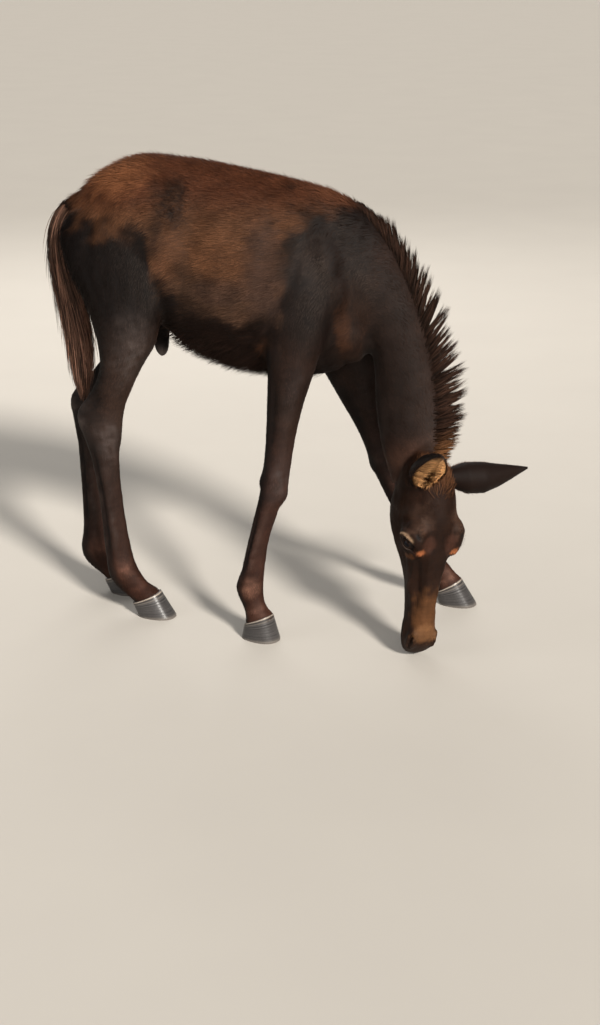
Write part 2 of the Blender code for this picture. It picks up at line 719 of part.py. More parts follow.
def tail_locks(rng):
    """Locks that come out of the core, hang along it and end at the tail's outline."""
    locks = []
    last = len(TAIL) - 1.0
    for rank, root_row in enumerate(TAIL_ROOTS):
        for k in range(TAIL_ROUND):
            turn = k + 0.5 * (rank % 2) + rng.uniform(-TAIL_TURNS, TAIL_TURNS)
            angle = 2 * np.pi * turn / TAIL_ROUND
            run = TAIL_RUN * rng.uniform(*TAIL_RUNS)
            path = []
            for share in LOCK_PATH:
                row = min(root_row + run * share, last)
                middle, reach, side = seam_frame(TAIL, row)
                half = float(np.interp(row, range(len(TAIL)), [r[5] for r in TAIL]))
                depth = TAIL_ROOT_DEPTH + (1 - TAIL_ROOT_DEPTH) * share ** TAIL_DEPTH_POWER
                path.append(middle + reach * float(np.cos(angle)) * depth
                            + side * (half * float(np.sin(angle)) * depth))
            middle, reach, side = seam_frame(TAIL, root_row)
            around = side * float(np.cos(angle)) - reach.normalized() * float(np.sin(angle))
            locks.append(lock("tail_lock", path, around, TAIL_LOCK))
    return locks


def fringe_locks(torso, rng):
    """Short locks that hang back from the lowest line of the belly."""
    tree = BVHTree.FromObject(torso, bpy.context.evaluated_depsgraph_get())
    locks = []
    for k in range(FRINGE_LOCKS):
        x = FRINGE_X[0] + (FRINGE_X[1] - FRINGE_X[0]) * k / (FRINGE_LOCKS - 1)
        y = rng.uniform(*FRINGE_Y)
        skin = tree.ray_cast(Vector((x, y, 0.0)), Vector((0.0, 0.0, 1.0)))[0]
        aside = rng.uniform(-FRINGE_ASIDES, FRINGE_ASIDES)
        aim = Vector((FRINGE_AIM[0], aside, FRINGE_AIM[1])).normalized()
        drop = Vector(FRINGE_DROP)
        length = FRINGE_LENGTH * rng.uniform(*FRINGE_LENGTHS)
        root = skin + Vector(FRINGE_SINK)
        path = [root + aim * (length * s) + drop * (length * s * s) for s in LOCK_PATH]
        locks.append(lock("fringe_lock", path, Vector((0.0, 1.0, 0.0)), FRINGE_LOCK))
    return locks


def forelock(head, frame, rng):
    """The tuft between the ears, which falls forward over the forehead."""
    tree = BVHTree.FromObject(head, bpy.context.evaluated_depsgraph_get())
    turn = frame.to_3x3()
    down, face, across = turn.transposed()
    locks = []
    for row, side, length in FORELOCK:
        start = frame @ Vector((row, FORELOCK_START, side))
        skin = tree.ray_cast(start, -face)[0]
        lean = rng.uniform(-FORELOCK_ASIDES, FORELOCK_ASIDES)
        aim = (down * FORELOCK_AIM[0] + face * FORELOCK_AIM[1] + across * lean).normalized()
        root = skin - face * FORELOCK_ROOT
        fall = down * (length * FORELOCK_FALL)
        path = [root + aim * (length * s) + fall * (s * s) for s in LOCK_PATH]
        locks.append(lock("forelock", path, across, FORELOCK_LOCK))
    return locks


def ear(name, frame, root, toward, opening):
    """An ear: a leaf rolled into a cup, open along one side, rising from the poll."""
    axis = Vector(toward).normalized()
    front = Vector(opening)
    front = (front - axis * front.dot(axis)).normalized()
    side = axis.cross(front)
    start = frame @ Vector(root)
    rings = []
    for share, half, wrap, bow in EAR:
        middle = start + axis * (EAR_LENGTH * share) + front * bow
        wall = EAR_WALL * (1.0 - 0.6 * share)
        outer, inner = [], []
        for k in range(EAR_POINTS):
            angle = radians(wrap) * (2 * k / (EAR_POINTS - 1) - 1)
            reach = side * float(np.sin(angle)) - front * float(np.cos(angle))
            outer.append(middle + reach * half)
            inner.append(middle + reach * max(half - wall, 0.25 * half))
        rings.append(outer + inner[::-1])
    return loft(name, rings)


def hoof(name, where, heading, limb_rows):
    """A hoof: ovals from the ground up to the slanted coronet."""
    middle, reach, coronet_side = seam_frame(limb_rows, CORONET_ROW)
    turn = Matrix.Rotation(radians(heading), 3, "Z")
    ahead, side = turn @ Vector((1.0, 0.0, 0.0)), turn @ Vector((0.0, 1.0, 0.0))
    top = middle - reach.cross(coronet_side).normalized() * GAP
    ground = Vector((where[0], where[1], 0.0))
    rings = []
    for share, grow in HOOF_RINGS:
        centre = ground.lerp(top, share)
        long_axis = (ahead * HOOF_LENGTH / 2).lerp(reach, share) * grow
        wide = HOOF_WIDTH / 2 * (1 - share) + CORONET_WIDTH / 2 * share
        wide_axis = side.lerp(coronet_side, share) * wide * grow
        rings.append(oval(centre, long_axis, wide_axis, HOOF_SIDES, *HOOF_POWERS))
    return loft(name, rings)


def tube(name, points, radius, closed=False):
    """A round tube along a path, as a closed mesh."""
    curve = bpy.data.curves.new(name, "CURVE")
    curve.dimensions = "3D"
    curve.bevel_depth = radius
    curve.bevel_resolution = 1
    curve.use_fill_caps = not closed
    spline = curve.splines.new("POLY")
    spline.points.add(len(points) - 1)
    for spot, point in zip(spline.points, points):
        spot.co = (*point, 1.0)
    spline.use_cyclic_u = closed
    pipe = bpy.data.objects.new(name + "_path", curve)
    bpy.context.scene.collection.objects.link(pipe)
    bpy.context.view_layer.update()
    seen = pipe.evaluated_get(bpy.context.evaluated_depsgraph_get())
    mesh = bpy.data.meshes.new_from_object(seen)
    bpy.data.objects.remove(pipe)
    work = bmesh.new()
    work.from_mesh(mesh)
    bmesh.ops.remove_doubles(work, verts=work.verts, dist=0.00001)
    work.to_mesh(mesh)
    work.free()
    outward(mesh)
    thing = bpy.data.objects.new(name, mesh)
    bpy.context.scene.collection.objects.link(thing)
    return thing


def whole_animal(frame):
    """Body, neck, head and limbs as one smooth skin, without hooves, ears, mane or tail."""
    shells = [
        limb("trunk", TRUNK, TRUNK_POWERS, TRUNK_SIDES),
        limb("crest_and_throat", NECK, NECK_POWERS, NECK_SIDES),
        limb("dock", DOCK),
        limb("sheath", SHEATH),
        head_loft(frame),
    ]
    shells += [limb(name, rows) for name, rows in LIMBS.items()]
    for middle, sizes in BODY_SWELLINGS:
        shells.append(swelling("swelling", middle, sizes))
    for middle, sizes in HEAD_SWELLINGS:
        for side in (-1, 1):
            spot = (middle[0], middle[1], side * middle[2])
            shells.append(swelling("swelling", spot, sizes, frame))
    return fused(merge("animal", shells), SKIN_VOXEL, SKIN_ROUNDS)


def poll_cut():
    """The thin box between the head and the neck."""
    middle, reach, side = seam_frame(NECK, POLL_ROW)
    return slab("poll", middle, reach, side, *POLL_CUT, GAP)


def cut_planes():
    """Thin boxes between the nodes of the body."""
    planes = [poll_cut()]
    for name, rows in LIMBS.items():
        first = THIGH_ROW if "hind" in name else FOREARM_ROW
        for row, size in zip((first, SHANK_ROW, FETLOCK_ROW), LIMB_CUTS):
            middle, reach, side = seam_frame(rows, row)
            planes.append(slab("seam", middle, reach, side, size, LIMB_BREADTH, GAP))
        middle, reach, side = seam_frame(rows, CORONET_ROW)
        below = -CORONET_BOX / 2
        planes.append(slab("coronet", middle, reach, side, *CORONET_CUT, CORONET_BOX, below))
    top, breast = Vector(NECK_SEAM[0]), Vector(NECK_SEAM[1])
    planes.append(slab("neck", (top + breast) / 2, top - breast, (0, 1, 0), *NECK_CUT, GAP))
    planes.append(slab("loin", LOIN_MIDDLE, (0, 0, 1), (0, 1, 0), *LOIN_CUT, GAP))
    middle, reach, side = seam_frame(TAIL, 0)
    long_side, across, deep = DOCK_BOX
    planes.append(slab("dock", middle, reach, side, long_side, across, deep, GAP - deep / 2))
    return planes


def seeds():
    """A point well inside each node of the cut body."""
    spots = {
        "torso": Vector(TORSO_MIDDLE),
        "hindquarters": Vector(HIND_MIDDLE),
        "neck": seam_frame(NECK, NECK_MIDDLE_ROW)[0],
        "head_stub": Vector(HEAD_MIDDLE),
    }
    for name, rows in LIMBS.items():
        first = THIGH_ROW if "hind" in name else FOREARM_ROW
        upper = "gaskin_" if "hind" in name else "forearm_"
        side = name.split("_")[1]
        spots[upper + side] = seam_frame(rows, (first + SHANK_ROW) / 2)[0]
        spots["cannon_" + name] = seam_frame(rows, (SHANK_ROW + FETLOCK_ROW) / 2)[0]
        spots["pastern_" + name] = seam_frame(rows, (FETLOCK_ROW + CORONET_ROW) / 2)[0]
    return spots


def named_islands(thing, spots):
    """One object for each spot: the closed part of the mesh whose middle is nearest."""
    mesh = thing.data
    parts = {}
    for faces in split_islands(mesh):
        points = {v for f in faces for v in mesh.polygons[f].vertices}
        middle = sum((mesh.vertices[v].co for v in points), Vector()) / len(points)
        name = min(spots, key=lambda key: (spots[key] - middle).length)
        if len(faces) > len(parts.get(name, ())):
            parts[name] = faces
    made = {}
    for name, faces in parts.items():
        piece = bpy.data.objects.new(name, mesh.copy())
        bpy.context.scene.collection.objects.link(piece)
        keep_faces(piece.data, set(faces))
        made[name] = piece
    bpy.data.objects.remove(thing)
    return made


def eye_frame(head, frame, side):
    """The eyeball's middle and its axes: along the lids, across them, and outward."""
    turn = frame.to_3x3()
    out = (turn @ Vector((EYE_LOOK[0], EYE_LOOK[1], side * EYE_LOOK[2]))).normalized()
    along = turn @ Vector((EYE_SLANT[0], EYE_SLANT[1], 0.0))
    along = (along - out * along.dot(out)).normalized()
    tree = BVHTree.FromObject(head, bpy.context.evaluated_depsgraph_get())
    skin = tree.ray_cast(frame @ Vector((EYE_DOWN, EYE_FACE, 0.0)), out)[0]
    return skin - out * (EYE_RADIUS - EYE_PROUD), along, out.cross(along), out


def lid_ring(eye, reach):
    """Points round the opening between the lids, at a distance from the eyeball's middle."""
    middle, along, across, out = eye
    ring = []
    for k in range(LID_POINTS):
        angle = 2 * np.pi * k / LID_POINTS
        long_part = float(np.tan(radians(LID_LONG)) * np.cos(angle))
        wide_part = float(np.tan(radians(LID_WIDE)) * np.sin(angle))
        aim = out + along * long_part + across * wide_part
        ring.append(middle + aim.normalized() * reach)
    return ring


def ball(name, middle, radius):
    """A sphere of the eyeball's own facets, so that ball and socket never cross."""
    bpy.ops.mesh.primitive_uv_sphere_add(segments=16, ring_count=10, radius=radius)
    thing = bpy.context.object
    thing.name = name
    thing.data.transform(Matrix.Translation(middle))
    return thing


def mouth_path(head, frame):
    """Points on the lips, from the right corner of the mouth round the front to the left."""
    tree = BVHTree.FromObject(head, bpy.context.evaluated_depsgraph_get())
    start = frame @ Vector((MOUTH_CORNER, MOUTH_LEVEL, 0.0))
    turn = frame.to_3x3()
    line = []
    for turn_share in np.linspace(-1, 1, MOUTH_POINTS):
        angle = radians(MOUTH_SWEEP) * turn_share
        aim = turn @ Vector((float(np.cos(angle)), 0.0, float(np.sin(angle))))
        line.append(tree.ray_cast(start, aim)[0])
    return line


def face_details(head, frame, eyes):
    """Lids, sockets, nostrils and the line of the mouth, on the head's mesh."""
    holes = [tube("mouth", mouth_path(head, frame), MOUTH_WIDTH)]
    lids = []
    for name, eye in eyes.items():
        side = EYES[name]
        lids.append(tube("lid", lid_ring(eye, EYE_RADIUS + LID_RISE), LID_THICK, closed=True))
        holes.append(ball("socket", eye[0], EYE_RADIUS + GAP))
        holes.append(loft("opening", [lid_ring(eye, EYE_RADIUS * r) for r in OPENING_REACH]))
        holes.append(swelling("nostril", (NOSTRIL[0], NOSTRIL[1], side * NOSTRIL[2]),
                              NOSTRIL_SIZES, frame))
    head = boolean(head, gather("lids", lids), "UNION", "MANIFOLD")
    head = boolean(head, gather("openings", holes), "DIFFERENCE", "MANIFOLD")
    return keep_largest(head)


def painted(thing, colour, roughness):
    """The object with a plain material of its own."""
    material = bpy.data.materials.new(thing.name)
    material.use_nodes = True
    shader = material.node_tree.nodes["Principled BSDF"]
    shader.inputs["Base Color"].default_value = (*colour, 1.0)
    shader.inputs["Roughness"].default_value = roughness
    shader.inputs["Metallic"].default_value = 0.0
    thing.data.materials.clear()
    thing.data.materials.append(material)
    material.diffuse_color = (*colour, 1.0)


def main():
    for thing in list(bpy.data.objects):
        bpy.data.objects.remove(thing)
    frame = head_matrix()
    animal = whole_animal(frame)
    body = boolean(thinned(animal, "body", BODY_TRIANGLES), gather("cutters", cut_planes()),
                   "DIFFERENCE")
    nodes = named_islands(body, seeds())
    bpy.data.objects.remove(nodes.pop("head_stub"))

    fine = thinned(animal, "fine", FINE_TRIANGLES)
    bpy.data.objects.remove(animal)
    fine = boolean(fine, gather("poll_cut", [poll_cut()]), "DIFFERENCE")
    parts = named_islands(fine, {"head": Vector(HEAD_MIDDLE), "rest": Vector(BODY_MIDDLE)})
    bpy.data.objects.remove(parts["rest"])
    head = parts["head"]
    eyes = {name: eye_frame(head, frame, side) for name, side in EYES.items()}
    head = face_details(head, frame, eyes)
    cuts = []
    ears = []
    for name, (root, toward, opening) in EARS.items():
        ears.append(ear(name, frame, root, toward, opening))
        axis = Vector(toward).normalized()
        spot = frame @ Vector(root) + axis * EAR_SEAM
        cuts.append(slab("ear_seam", spot, Vector(opening), axis.cross(Vector(opening)),
                         EAR_CUT, EAR_CUT, GAP))
    head = boolean(head, gather("ears", ears), "UNION", "MANIFOLD")
    head = boolean(head, gather("ear_cuts", cuts), "DIFFERENCE", "MANIFOLD")
    spots = {"head": Vector(HEAD_MIDDLE)}
    for name, (root, toward, opening) in EARS.items():
        spots[name] = frame @ Vector(root) + Vector(toward).normalized() * EAR_LENGTH * 0.5
    nodes.update(named_islands(head, spots))

    for name, eye in eyes.items():
        nodes[name] = ball(name, eye[0], EYE_RADIUS)
    rng = np.random.default_rng(HAIR_SEED)
    mane = gather("mane", [mane_core()] + mane_locks(rng))
    nodes["neck"] = keep_largest(boolean(nodes["neck"], mane, "UNION", "MANIFOLD"))
    tail = gather("tail_hair", tail_locks(rng))
    nodes["tail"] = keep_largest(boolean(tail_core(), tail, "UNION", "MANIFOLD"))
    fringe = gather("fringe", fringe_locks(nodes["torso"], rng))
    nodes["torso"] = keep_largest(boolean(nodes["torso"], fringe, "UNION", "MANIFOLD"))
    tuft = gather("tuft", forelock(nodes["head"], frame, rng))
    nodes["head"] = keep_largest(boolean(nodes["head"], tuft, "UNION", "MANIFOLD"))
    for name, (where, heading) in HOOVES.items():
        nodes[name] = hoof(name, where, heading, LIMBS[name.replace("hoof_", "")])
    finish(nodes)


def finish(nodes):
    """Names, colours, collection, and the move onto the origin."""
    figure = bpy.data.collections.new(FIGURE)
    bpy.context.scene.collection.children.link(figure)
    corners = [v.co for thing in nodes.values() for v in thing.data.vertices]
    low = Vector([min(c[i] for c in corners) for i in range(3)])
    high = Vector([max(c[i] for c in corners) for i in range(3)])
    shift = Vector((-(low.x + high.x) / 2, -(low.y + high.y) / 2, -low.z))
    for name, thing in nodes.items():
        thing.name = name
        thing.location = shift
        for old in list(thing.users_collection):
            old.objects.unlink(thing)
        figure.objects.link(thing)
        for key, colour, roughness in COLOURS:
            if key in name:
                break
        painted(thing, colour, roughness)


main()
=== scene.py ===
"""Looks of a mule foal that grazes, as a life-size still figure: one skin over all the flesh,
a coat of solid tufts along its lie, mane, tail, lids, eyes and hooves.

Shapes are worked out in the frame in which the figure was drawn, with the trunk over Y = 0, and
piece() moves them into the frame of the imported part.
"""

import bmesh
import bpy
import numpy as np
from mathutils import Matrix, Vector


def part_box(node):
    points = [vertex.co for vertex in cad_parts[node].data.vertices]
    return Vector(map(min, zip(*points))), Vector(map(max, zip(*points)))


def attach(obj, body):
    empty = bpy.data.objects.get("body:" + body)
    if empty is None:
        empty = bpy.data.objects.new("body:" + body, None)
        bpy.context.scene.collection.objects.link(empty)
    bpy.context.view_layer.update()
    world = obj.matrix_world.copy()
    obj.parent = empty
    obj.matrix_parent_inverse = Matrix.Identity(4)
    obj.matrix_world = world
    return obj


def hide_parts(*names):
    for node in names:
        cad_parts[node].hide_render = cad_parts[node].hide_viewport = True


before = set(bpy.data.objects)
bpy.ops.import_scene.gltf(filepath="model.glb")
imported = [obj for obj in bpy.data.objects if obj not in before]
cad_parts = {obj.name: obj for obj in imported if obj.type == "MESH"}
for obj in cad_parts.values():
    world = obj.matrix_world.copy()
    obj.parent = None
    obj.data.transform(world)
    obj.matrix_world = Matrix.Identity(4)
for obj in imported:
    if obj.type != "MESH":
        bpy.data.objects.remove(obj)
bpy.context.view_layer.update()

# Lowest corner of the left hind hoof where the figure was drawn; it gives the shift.
HOOF_CORNER = np.array((-0.32220, 0.02064, 0.0))
SHIFT = np.array(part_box("hoof_hind_left")[0]) - HOOF_CORNER


def millimetres(*rows):
    """A table of sections in metres and degrees, from rows in millimetres: upper x, upper z,
    lower x, lower z, half width, middle y, turn about Z. What a row leaves out is 0."""
    table = np.array([(*row, 0, 0)[:7] for row in rows], dtype=float)
    table[:, :6] /= 1000
    return table


# Sections of the trunk, from the rump to the breast.
TRUNK = millimetres(
    (-338, 886, -330, 800, 45), (-305, 932, -300, 745, 85), (-255, 966, -250, 705, 116),
    (-190, 988, -190, 670, 132), (-120, 986, -120, 618, 134), (-50, 980, -50, 577, 133),
    (20, 969, 20, 557, 138), (90, 957, 90, 549, 136), (160, 943, 160, 546, 121),
    (220, 927, 222, 555, 98), (262, 895, 265, 590, 78), (288, 840, 292, 640, 50),
)
# Sections of the neck, from inside the trunk to behind the poll: crest, then throat.
NECK = millimetres(
    (160, 938, 150, 640, 96), (235, 921, 235, 602, 86), (287, 888, 276, 600, 72),
    (332, 836, 294, 600, 60, -2), (374, 762, 301, 590, 52, -6), (408, 678, 305, 568, 47, -12),
    (434, 590, 308, 530, 43, -20), (450, 512, 314, 475, 41, -30, -5),
    (460, 452, 324, 418, 41, -43, -15), (464, 412, 338, 372, 42, -58, -28),
    (462, 385, 350, 335, 38, -74, -42),
)
# Sections of each limb, from inside the trunk down into the hoof: front edge, then back edge.
RIGHT_HIND = millimetres(
    (-160, 925, -265, 915, 18, -55), (-110, 880, -325, 870, 45, -70),
    (-85, 800, -343, 822, 57, -83), (-95, 722, -322, 765, 58, -92),
    (-118, 665, -284, 690, 51, -100), (-135, 610, -263, 614, 43, -102),
    (-171, 555, -266, 552, 35, -95), (-197, 500, -290, 497, 29, -86),
    (-216, 452, -319, 447, 27, -78), (-225, 402, -309, 392, 26, -75),
    (-232, 347, -295, 342, 21, -73), (-227, 250, -282, 245, 18.5, -70),
    (-216, 160, -276, 155, 20.5, -67), (-203, 108, -268, 98, 24.5, -66),
    (-178, 72, -241, 50, 23, -66), (-147, 54, -208, 24, 27, -66), (-138, 40, -200, 12, 26, -66),
)
LEFT_HIND = millimetres(
    (-160, 925, -265, 915, 18, 55), (-110, 880, -325, 870, 45, 70),
    (-88, 800, -350, 822, 57, 83), (-105, 722, -340, 765, 58, 92),
    (-138, 660, -315, 690, 51, 98), (-170, 605, -303, 614, 43, 95),
    (-220, 550, -316, 552, 35, 85), (-257, 500, -350, 497, 29, 73),
    (-285, 452, -390, 443, 27, 63), (-302, 402, -388, 390, 26, 59),
    (-315, 347, -380, 340, 21, 57), (-320, 250, -375, 243, 18.5, 55),
    (-312, 160, -373, 153, 20.5, 53), (-305, 106, -376, 96, 24.5, 52),
    (-282, 74, -350, 50, 23, 52), (-257, 54, -318, 24, 27, 52), (-248, 40, -310, 12, 26, 52),
)
RIGHT_FORE = millimetres(
    (225, 865, 145, 880, 18, -45), (258, 810, 110, 830, 40, -62), (248, 735, 97, 735, 44, -83),
    (232, 670, 96, 655, 45, -94), (214, 610, 103, 602, 42, -100),
    (202, 570, 103, 565, 37, -103), (184, 515, 103, 510, 32, -107),
    (166, 433, 101, 430, 26, -112), (155, 360, 96, 355, 27, -115),
    (147, 315, 88, 310, 26, -118), (129, 270, 77, 265, 21, -121, -4),
    (113, 215, 64, 210, 18, -125, -8), (106, 160, 52, 155, 19, -127, -12),
    (102, 118, 43, 105, 22.5, -128, -15), (105, 82, 55, 60, 21.5, -130, -17),
    (123, 54, 62, 26, 27, -131, -17), (130, 40, 68, 12, 26, -132, -17),
)
LEFT_FORE = millimetres(
    (230, 865, 150, 880, 18, 45), (262, 810, 115, 830, 40, 62), (280, 735, 115, 725, 44, 83),
    (288, 668, 125, 640, 43, 90), (300, 612, 148, 578, 39, 93), (300, 565, 170, 530, 35, 96),
    (298, 510, 198, 480, 31, 100), (308, 430, 240, 405, 26, 110), (326, 362, 268, 337, 27, 120),
    (341, 318, 283, 293, 26, 127), (353, 268, 303, 247, 21, 135),
    (374, 212, 328, 191, 18, 145, -2), (399, 158, 348, 133, 19, 153, -4),
    (424, 118, 366, 90, 22.5, 160, -6), (448, 84, 396, 52, 21.5, 166, -6),
    (470, 56, 416, 22, 27, 171, -6), (480, 42, 424, 10, 26, 172, -6),
)
LIMBS = {"hind_right": RIGHT_HIND, "hind_left": LEFT_HIND,
         "fore_right": RIGHT_FORE, "fore_left": LEFT_FORE}
DOCK = millimetres(
    (-290, 880, -300, 925, 20), (-325, 868, -335, 905, 21), (-343, 862, -362, 886, 19),
    (-361, 840, -381, 854, 16), (-368, 800, -386, 804, 13), (-362, 740, -376, 741, 10),
    (-350, 690, -358, 690, 6),
)
SHEATH = millimetres(
    (-130, 700, -205, 700, 34, -4), (-132, 640, -198, 650, 28, -4),
    (-136, 600, -178, 606, 19, -4), (-140, 576, -171, 580, 15, -4),
    (-149, 564, -162, 566, 7, -4),
)
TAIL = millimetres(
    (-341, 862, -366, 888, 19), (-352, 838, -393, 854, 26), (-353, 800, -405, 806, 31),
    (-340, 740, -404, 742, 35), (-322, 670, -394, 672, 36), (-310, 600, -380, 600, 31),
    (-312, 540, -368, 540, 23), (-322, 490, -358, 490, 13), (-333, 450, -345, 450, 4),
)

# Bony and muscled places, as shells: centre, then half sizes along X, Y and Z.
SHELLS = (
    ((0.255, 0.0, 0.650), (0.050, 0.072, 0.075)),
    ((-0.150, -0.062, 0.908), (0.085, 0.042, 0.052)),
    ((-0.150, 0.062, 0.908), (0.085, 0.042, 0.052)),
    ((0.232, -0.070, 0.735), (0.036, 0.036, 0.055)),
    ((0.240, 0.070, 0.730), (0.036, 0.036, 0.055)),
)

# The head's own frame: down the face from the poll, out of the face, and to its right side.
HEAD_PLACE = np.array((0.449, -0.112, 0.417))
HEAD_DOWN = np.array((-0.048, -0.067, -0.997))
HEAD_FACE = np.array((0.623, -0.782, 0.023))
# Sections of the head there, from millimetres: down from the poll, the face, the jaw side, the
# half width.
HEAD = np.array((
    (-4, 0, -45, 22), (12, 26, -66, 38), (40, 48, -84, 50), (80, 65, -93, 56),
    (120, 70, -95, 58), (160, 66, -92, 54), (200, 60, -80, 45), (240, 53, -62, 36),
    (280, 47, -48, 31), (320, 42, -39, 30), (350, 40, -36, 32), (375, 36, -35, 33),
    (395, 24, -31, 30), (408, 8, -22, 22), (413, -2, -12, 10),
)) / 1000
HEAD_SHELLS = (
    ((0.146, 0.027, 0.039), (0.054, 0.040, 0.027)),
    ((0.115, -0.035, 0.034), (0.070, 0.052, 0.022)),
    ((0.368, 0.016, 0.020), (0.026, 0.020, 0.015)),
    ((0.392, -0.022, 0.000), (0.018, 0.016, 0.022)),
    ((0.250, 0.014, 0.026), (0.060, 0.010, 0.010)),
)

SKIN_VOXEL = 0.0056
SKIN_ROUNDS = 6
SKIN_SOFTNESS = 0.5

# How the coat grows, along each part: row, length, lift in degrees, width of a tuft, tufts on
# a square centimetre, and how deep the skin lies under the outline.
COAT = {
    "trunk": ((0, 0.013, 13, 0.0016, 15.5, 0.0040), (4, 0.014, 13, 0.0016, 15.5, 0.0040),
              (6, 0.015, 14, 0.0016, 15.5, 0.0045), (8, 0.012, 11, 0.0015, 15.5, 0.0035),
              (11, 0.009, 10, 0.0014, 15.5, 0.0030)),
    "neck": ((0, 0.009, 10, 0.0014, 15.5, 0.0030), (4, 0.0078, 9, 0.0013, 16.5, 0.0022),
             (10, 0.0075, 10, 0.0013, 19, 0.0022)),
    "dock": ((0, 0.012, 14, 0.0014, 20, 0.0030), (6, 0.014, 12, 0.0014, 14, 0.0010)),
    "sheath": ((0, 0.007, 12, 0.0012, 16.5, 0.0018), (4, 0.003, 12, 0.0009, 12, 0.0008)),
    "hind": ((0, 0.012, 12, 0.0016, 15.5, 0.0040), (4, 0.009, 10, 0.0014, 15.5, 0.0026),
             (7, 0.0068, 9, 0.0013, 15.5, 0.0015), (12, 0.0056, 9, 0.0012, 16.5, 0.0011),
             (15.0, 0.0060, 13, 0.0012, 20, 0.0012), (15.4, 0.0060, 14, 0.0011, 8, 0.0060),
             (16, 0.0060, 14, 0.0011, 8, 0.0090)),
    "fore": ((0, 0.010, 10, 0.0015, 15.5, 0.0032), (4, 0.0080, 9, 0.0013, 15.5, 0.0024),
             (7, 0.0066, 9, 0.0013, 15.5, 0.0015), (12, 0.0056, 9, 0.0012, 16.5, 0.0011),
             (15.0, 0.0060, 13, 0.0012, 20, 0.0012), (15.4, 0.0060, 14, 0.0011, 8, 0.0060),
             (16, 0.0060, 14, 0.0011, 8, 0.0090)),
    "head": ((0, 0.009, 12, 0.0013, 22, 0.0022), (3, 0.0062, 10, 0.0011, 28, 0.0014),
             (9, 0.0044, 9, 0.0009, 33, 0.0010), (11, 0.0032, 9, 0.0008, 38, 0.0008),
             (14, 0.0018, 10, 0.0007, 32, 0.0005)),
}
COAT_COLUMNS = 5


def unit(v):
    """v / |v|, row by row."""
    return v / np.maximum(np.linalg.norm(v, axis=-1, keepdims=True), 1e-12)


def ramp(low, high, value):
    """3t^2 - 2t^3 of t = (value - low) / (high - low), held between 0 and 1."""
    t = np.clip((value - low) / (high - low), 0.0, 1.0)
    return t * t * (3.0 - 2.0 * t)


def bell(distance):
    """exp(-distance^2)."""
    return np.exp(-distance * distance)


def mix(a, b, share):
    """a + (b - a) * share, with one share for each row."""
    a, b = np.asarray(a), np.asarray(b)
    return a + (b - a) * share[:, None]


def layered(colour, *coats):
    """A colour with others mixed over it in turn, each with a share for every row."""
    for tone, share in coats:
        colour = mix(colour, tone, share)
    return colour


def at_row(table, row):
    """Each column of an array of samples at fractional rows."""
    at = np.clip(row, 0, len(table) - 1)
    return np.stack([np.interp(at, np.arange(len(table)), column) for column in table.T], -1)


def waves(points, size, seed):
    """Smooth noise about -1 to 1: the sum of eight sines of k . p + phase, |k| near 2 pi / size."""
    rng = np.random.default_rng(seed)
    k = unit(rng.normal(size=(8, 3))) * (rng.uniform(0.6, 1.7, (8, 1)) * 2 * np.pi / size)
    return np.sin(points @ k.T + rng.uniform(0, 2 * np.pi, 8)).sum(1) * 0.35


HEAD_DOWN = unit(HEAD_DOWN)
HEAD_SIDE = unit(np.cross(HEAD_DOWN, HEAD_FACE))
HEAD_FACE = np.cross(HEAD_SIDE, HEAD_DOWN)
HEAD_AXES = np.stack([HEAD_DOWN, HEAD_FACE, HEAD_SIDE])


def to_head(points):
    """World points in the head's frame: down, face, side."""
    return (points - HEAD_PLACE) @ HEAD_AXES.T


def from_head(local):
    return np.asarray(local) @ HEAD_AXES + HEAD_PLACE


def through(rows, steps):
    """Rows on a Catmull-Rom curve through the table, the same for every column:
    (2b + (c - a)t + (2a - 5b + 4c - d)t^2 + (3b - a - 3c + d)t^3) / 2."""
    padded = np.vstack([2 * rows[0] - rows[1], rows, 2 * rows[-1] - rows[-2]])
    t = (np.arange(steps) / steps)[None, :, None]
    a, b, c, d = (padded[i:len(rows) - 1 + i, None] for i in range(4))
    out = 0.5 * (2 * b + (c - a) * t + (2 * a - 5 * b + 4 * c - d) * t ** 2
                 + (3 * b - a - 3 * c + d) * t ** 3)
    return np.vstack([out.reshape(-1, rows.shape[1]), rows[-1:]])


def sections(rows):
    """Middle, half axis to the first edge, and half axis aside, of section rows."""
    upper_x, upper_z, lower_x, lower_z, half, y, turn = rows.T
    turn = np.radians(turn)
    run = (upper_x - lower_x) / 2
    middle = np.stack([(upper_x + lower_x) / 2, y, (upper_z + lower_z) / 2], 1)
    reach = np.stack([run * np.cos(turn), run * np.sin(turn), (upper_z - lower_z) / 2], 1)
    side = np.stack([-np.sin(turn), np.cos(turn), np.zeros(len(rows))], 1) * half[:, None]
    return middle, reach, side


def head_sections(rows):
    """The same three for the head, whose rows are in its own frame."""
    down, face, jaw, half = rows.T
    zero = np.zeros(len(rows))
    middle = from_head(np.stack([down, (face + jaw) / 2, zero], 1))
    reach = np.stack([zero, (face - jaw) / 2, zero], 1) @ HEAD_AXES
    side = np.stack([zero, zero, half], 1) @ HEAD_AXES
    return middle, reach, side


def ovals(middle, reach, side, sides, power_out=2.0, power_in=2.0):
    """Rings P = middle + reach sgn(c)|c|^(2/p) + side sgn(s)|s|^(2/p), with c, s of the angle
    and p = power_out where c > 0, else power_in."""
    angle = 2 * np.pi * np.arange(sides) / sides
    c, s = np.cos(angle), np.sin(angle)
    power = np.where(c > 0, power_out, power_in)
    along = np.sign(c) * np.abs(c) ** (2 / power)
    across = np.sign(s) * np.abs(s) ** (2 / power)
    return (middle[:, None] + reach[:, None] * along[None, :, None]
            + side[:, None] * across[None, :, None])


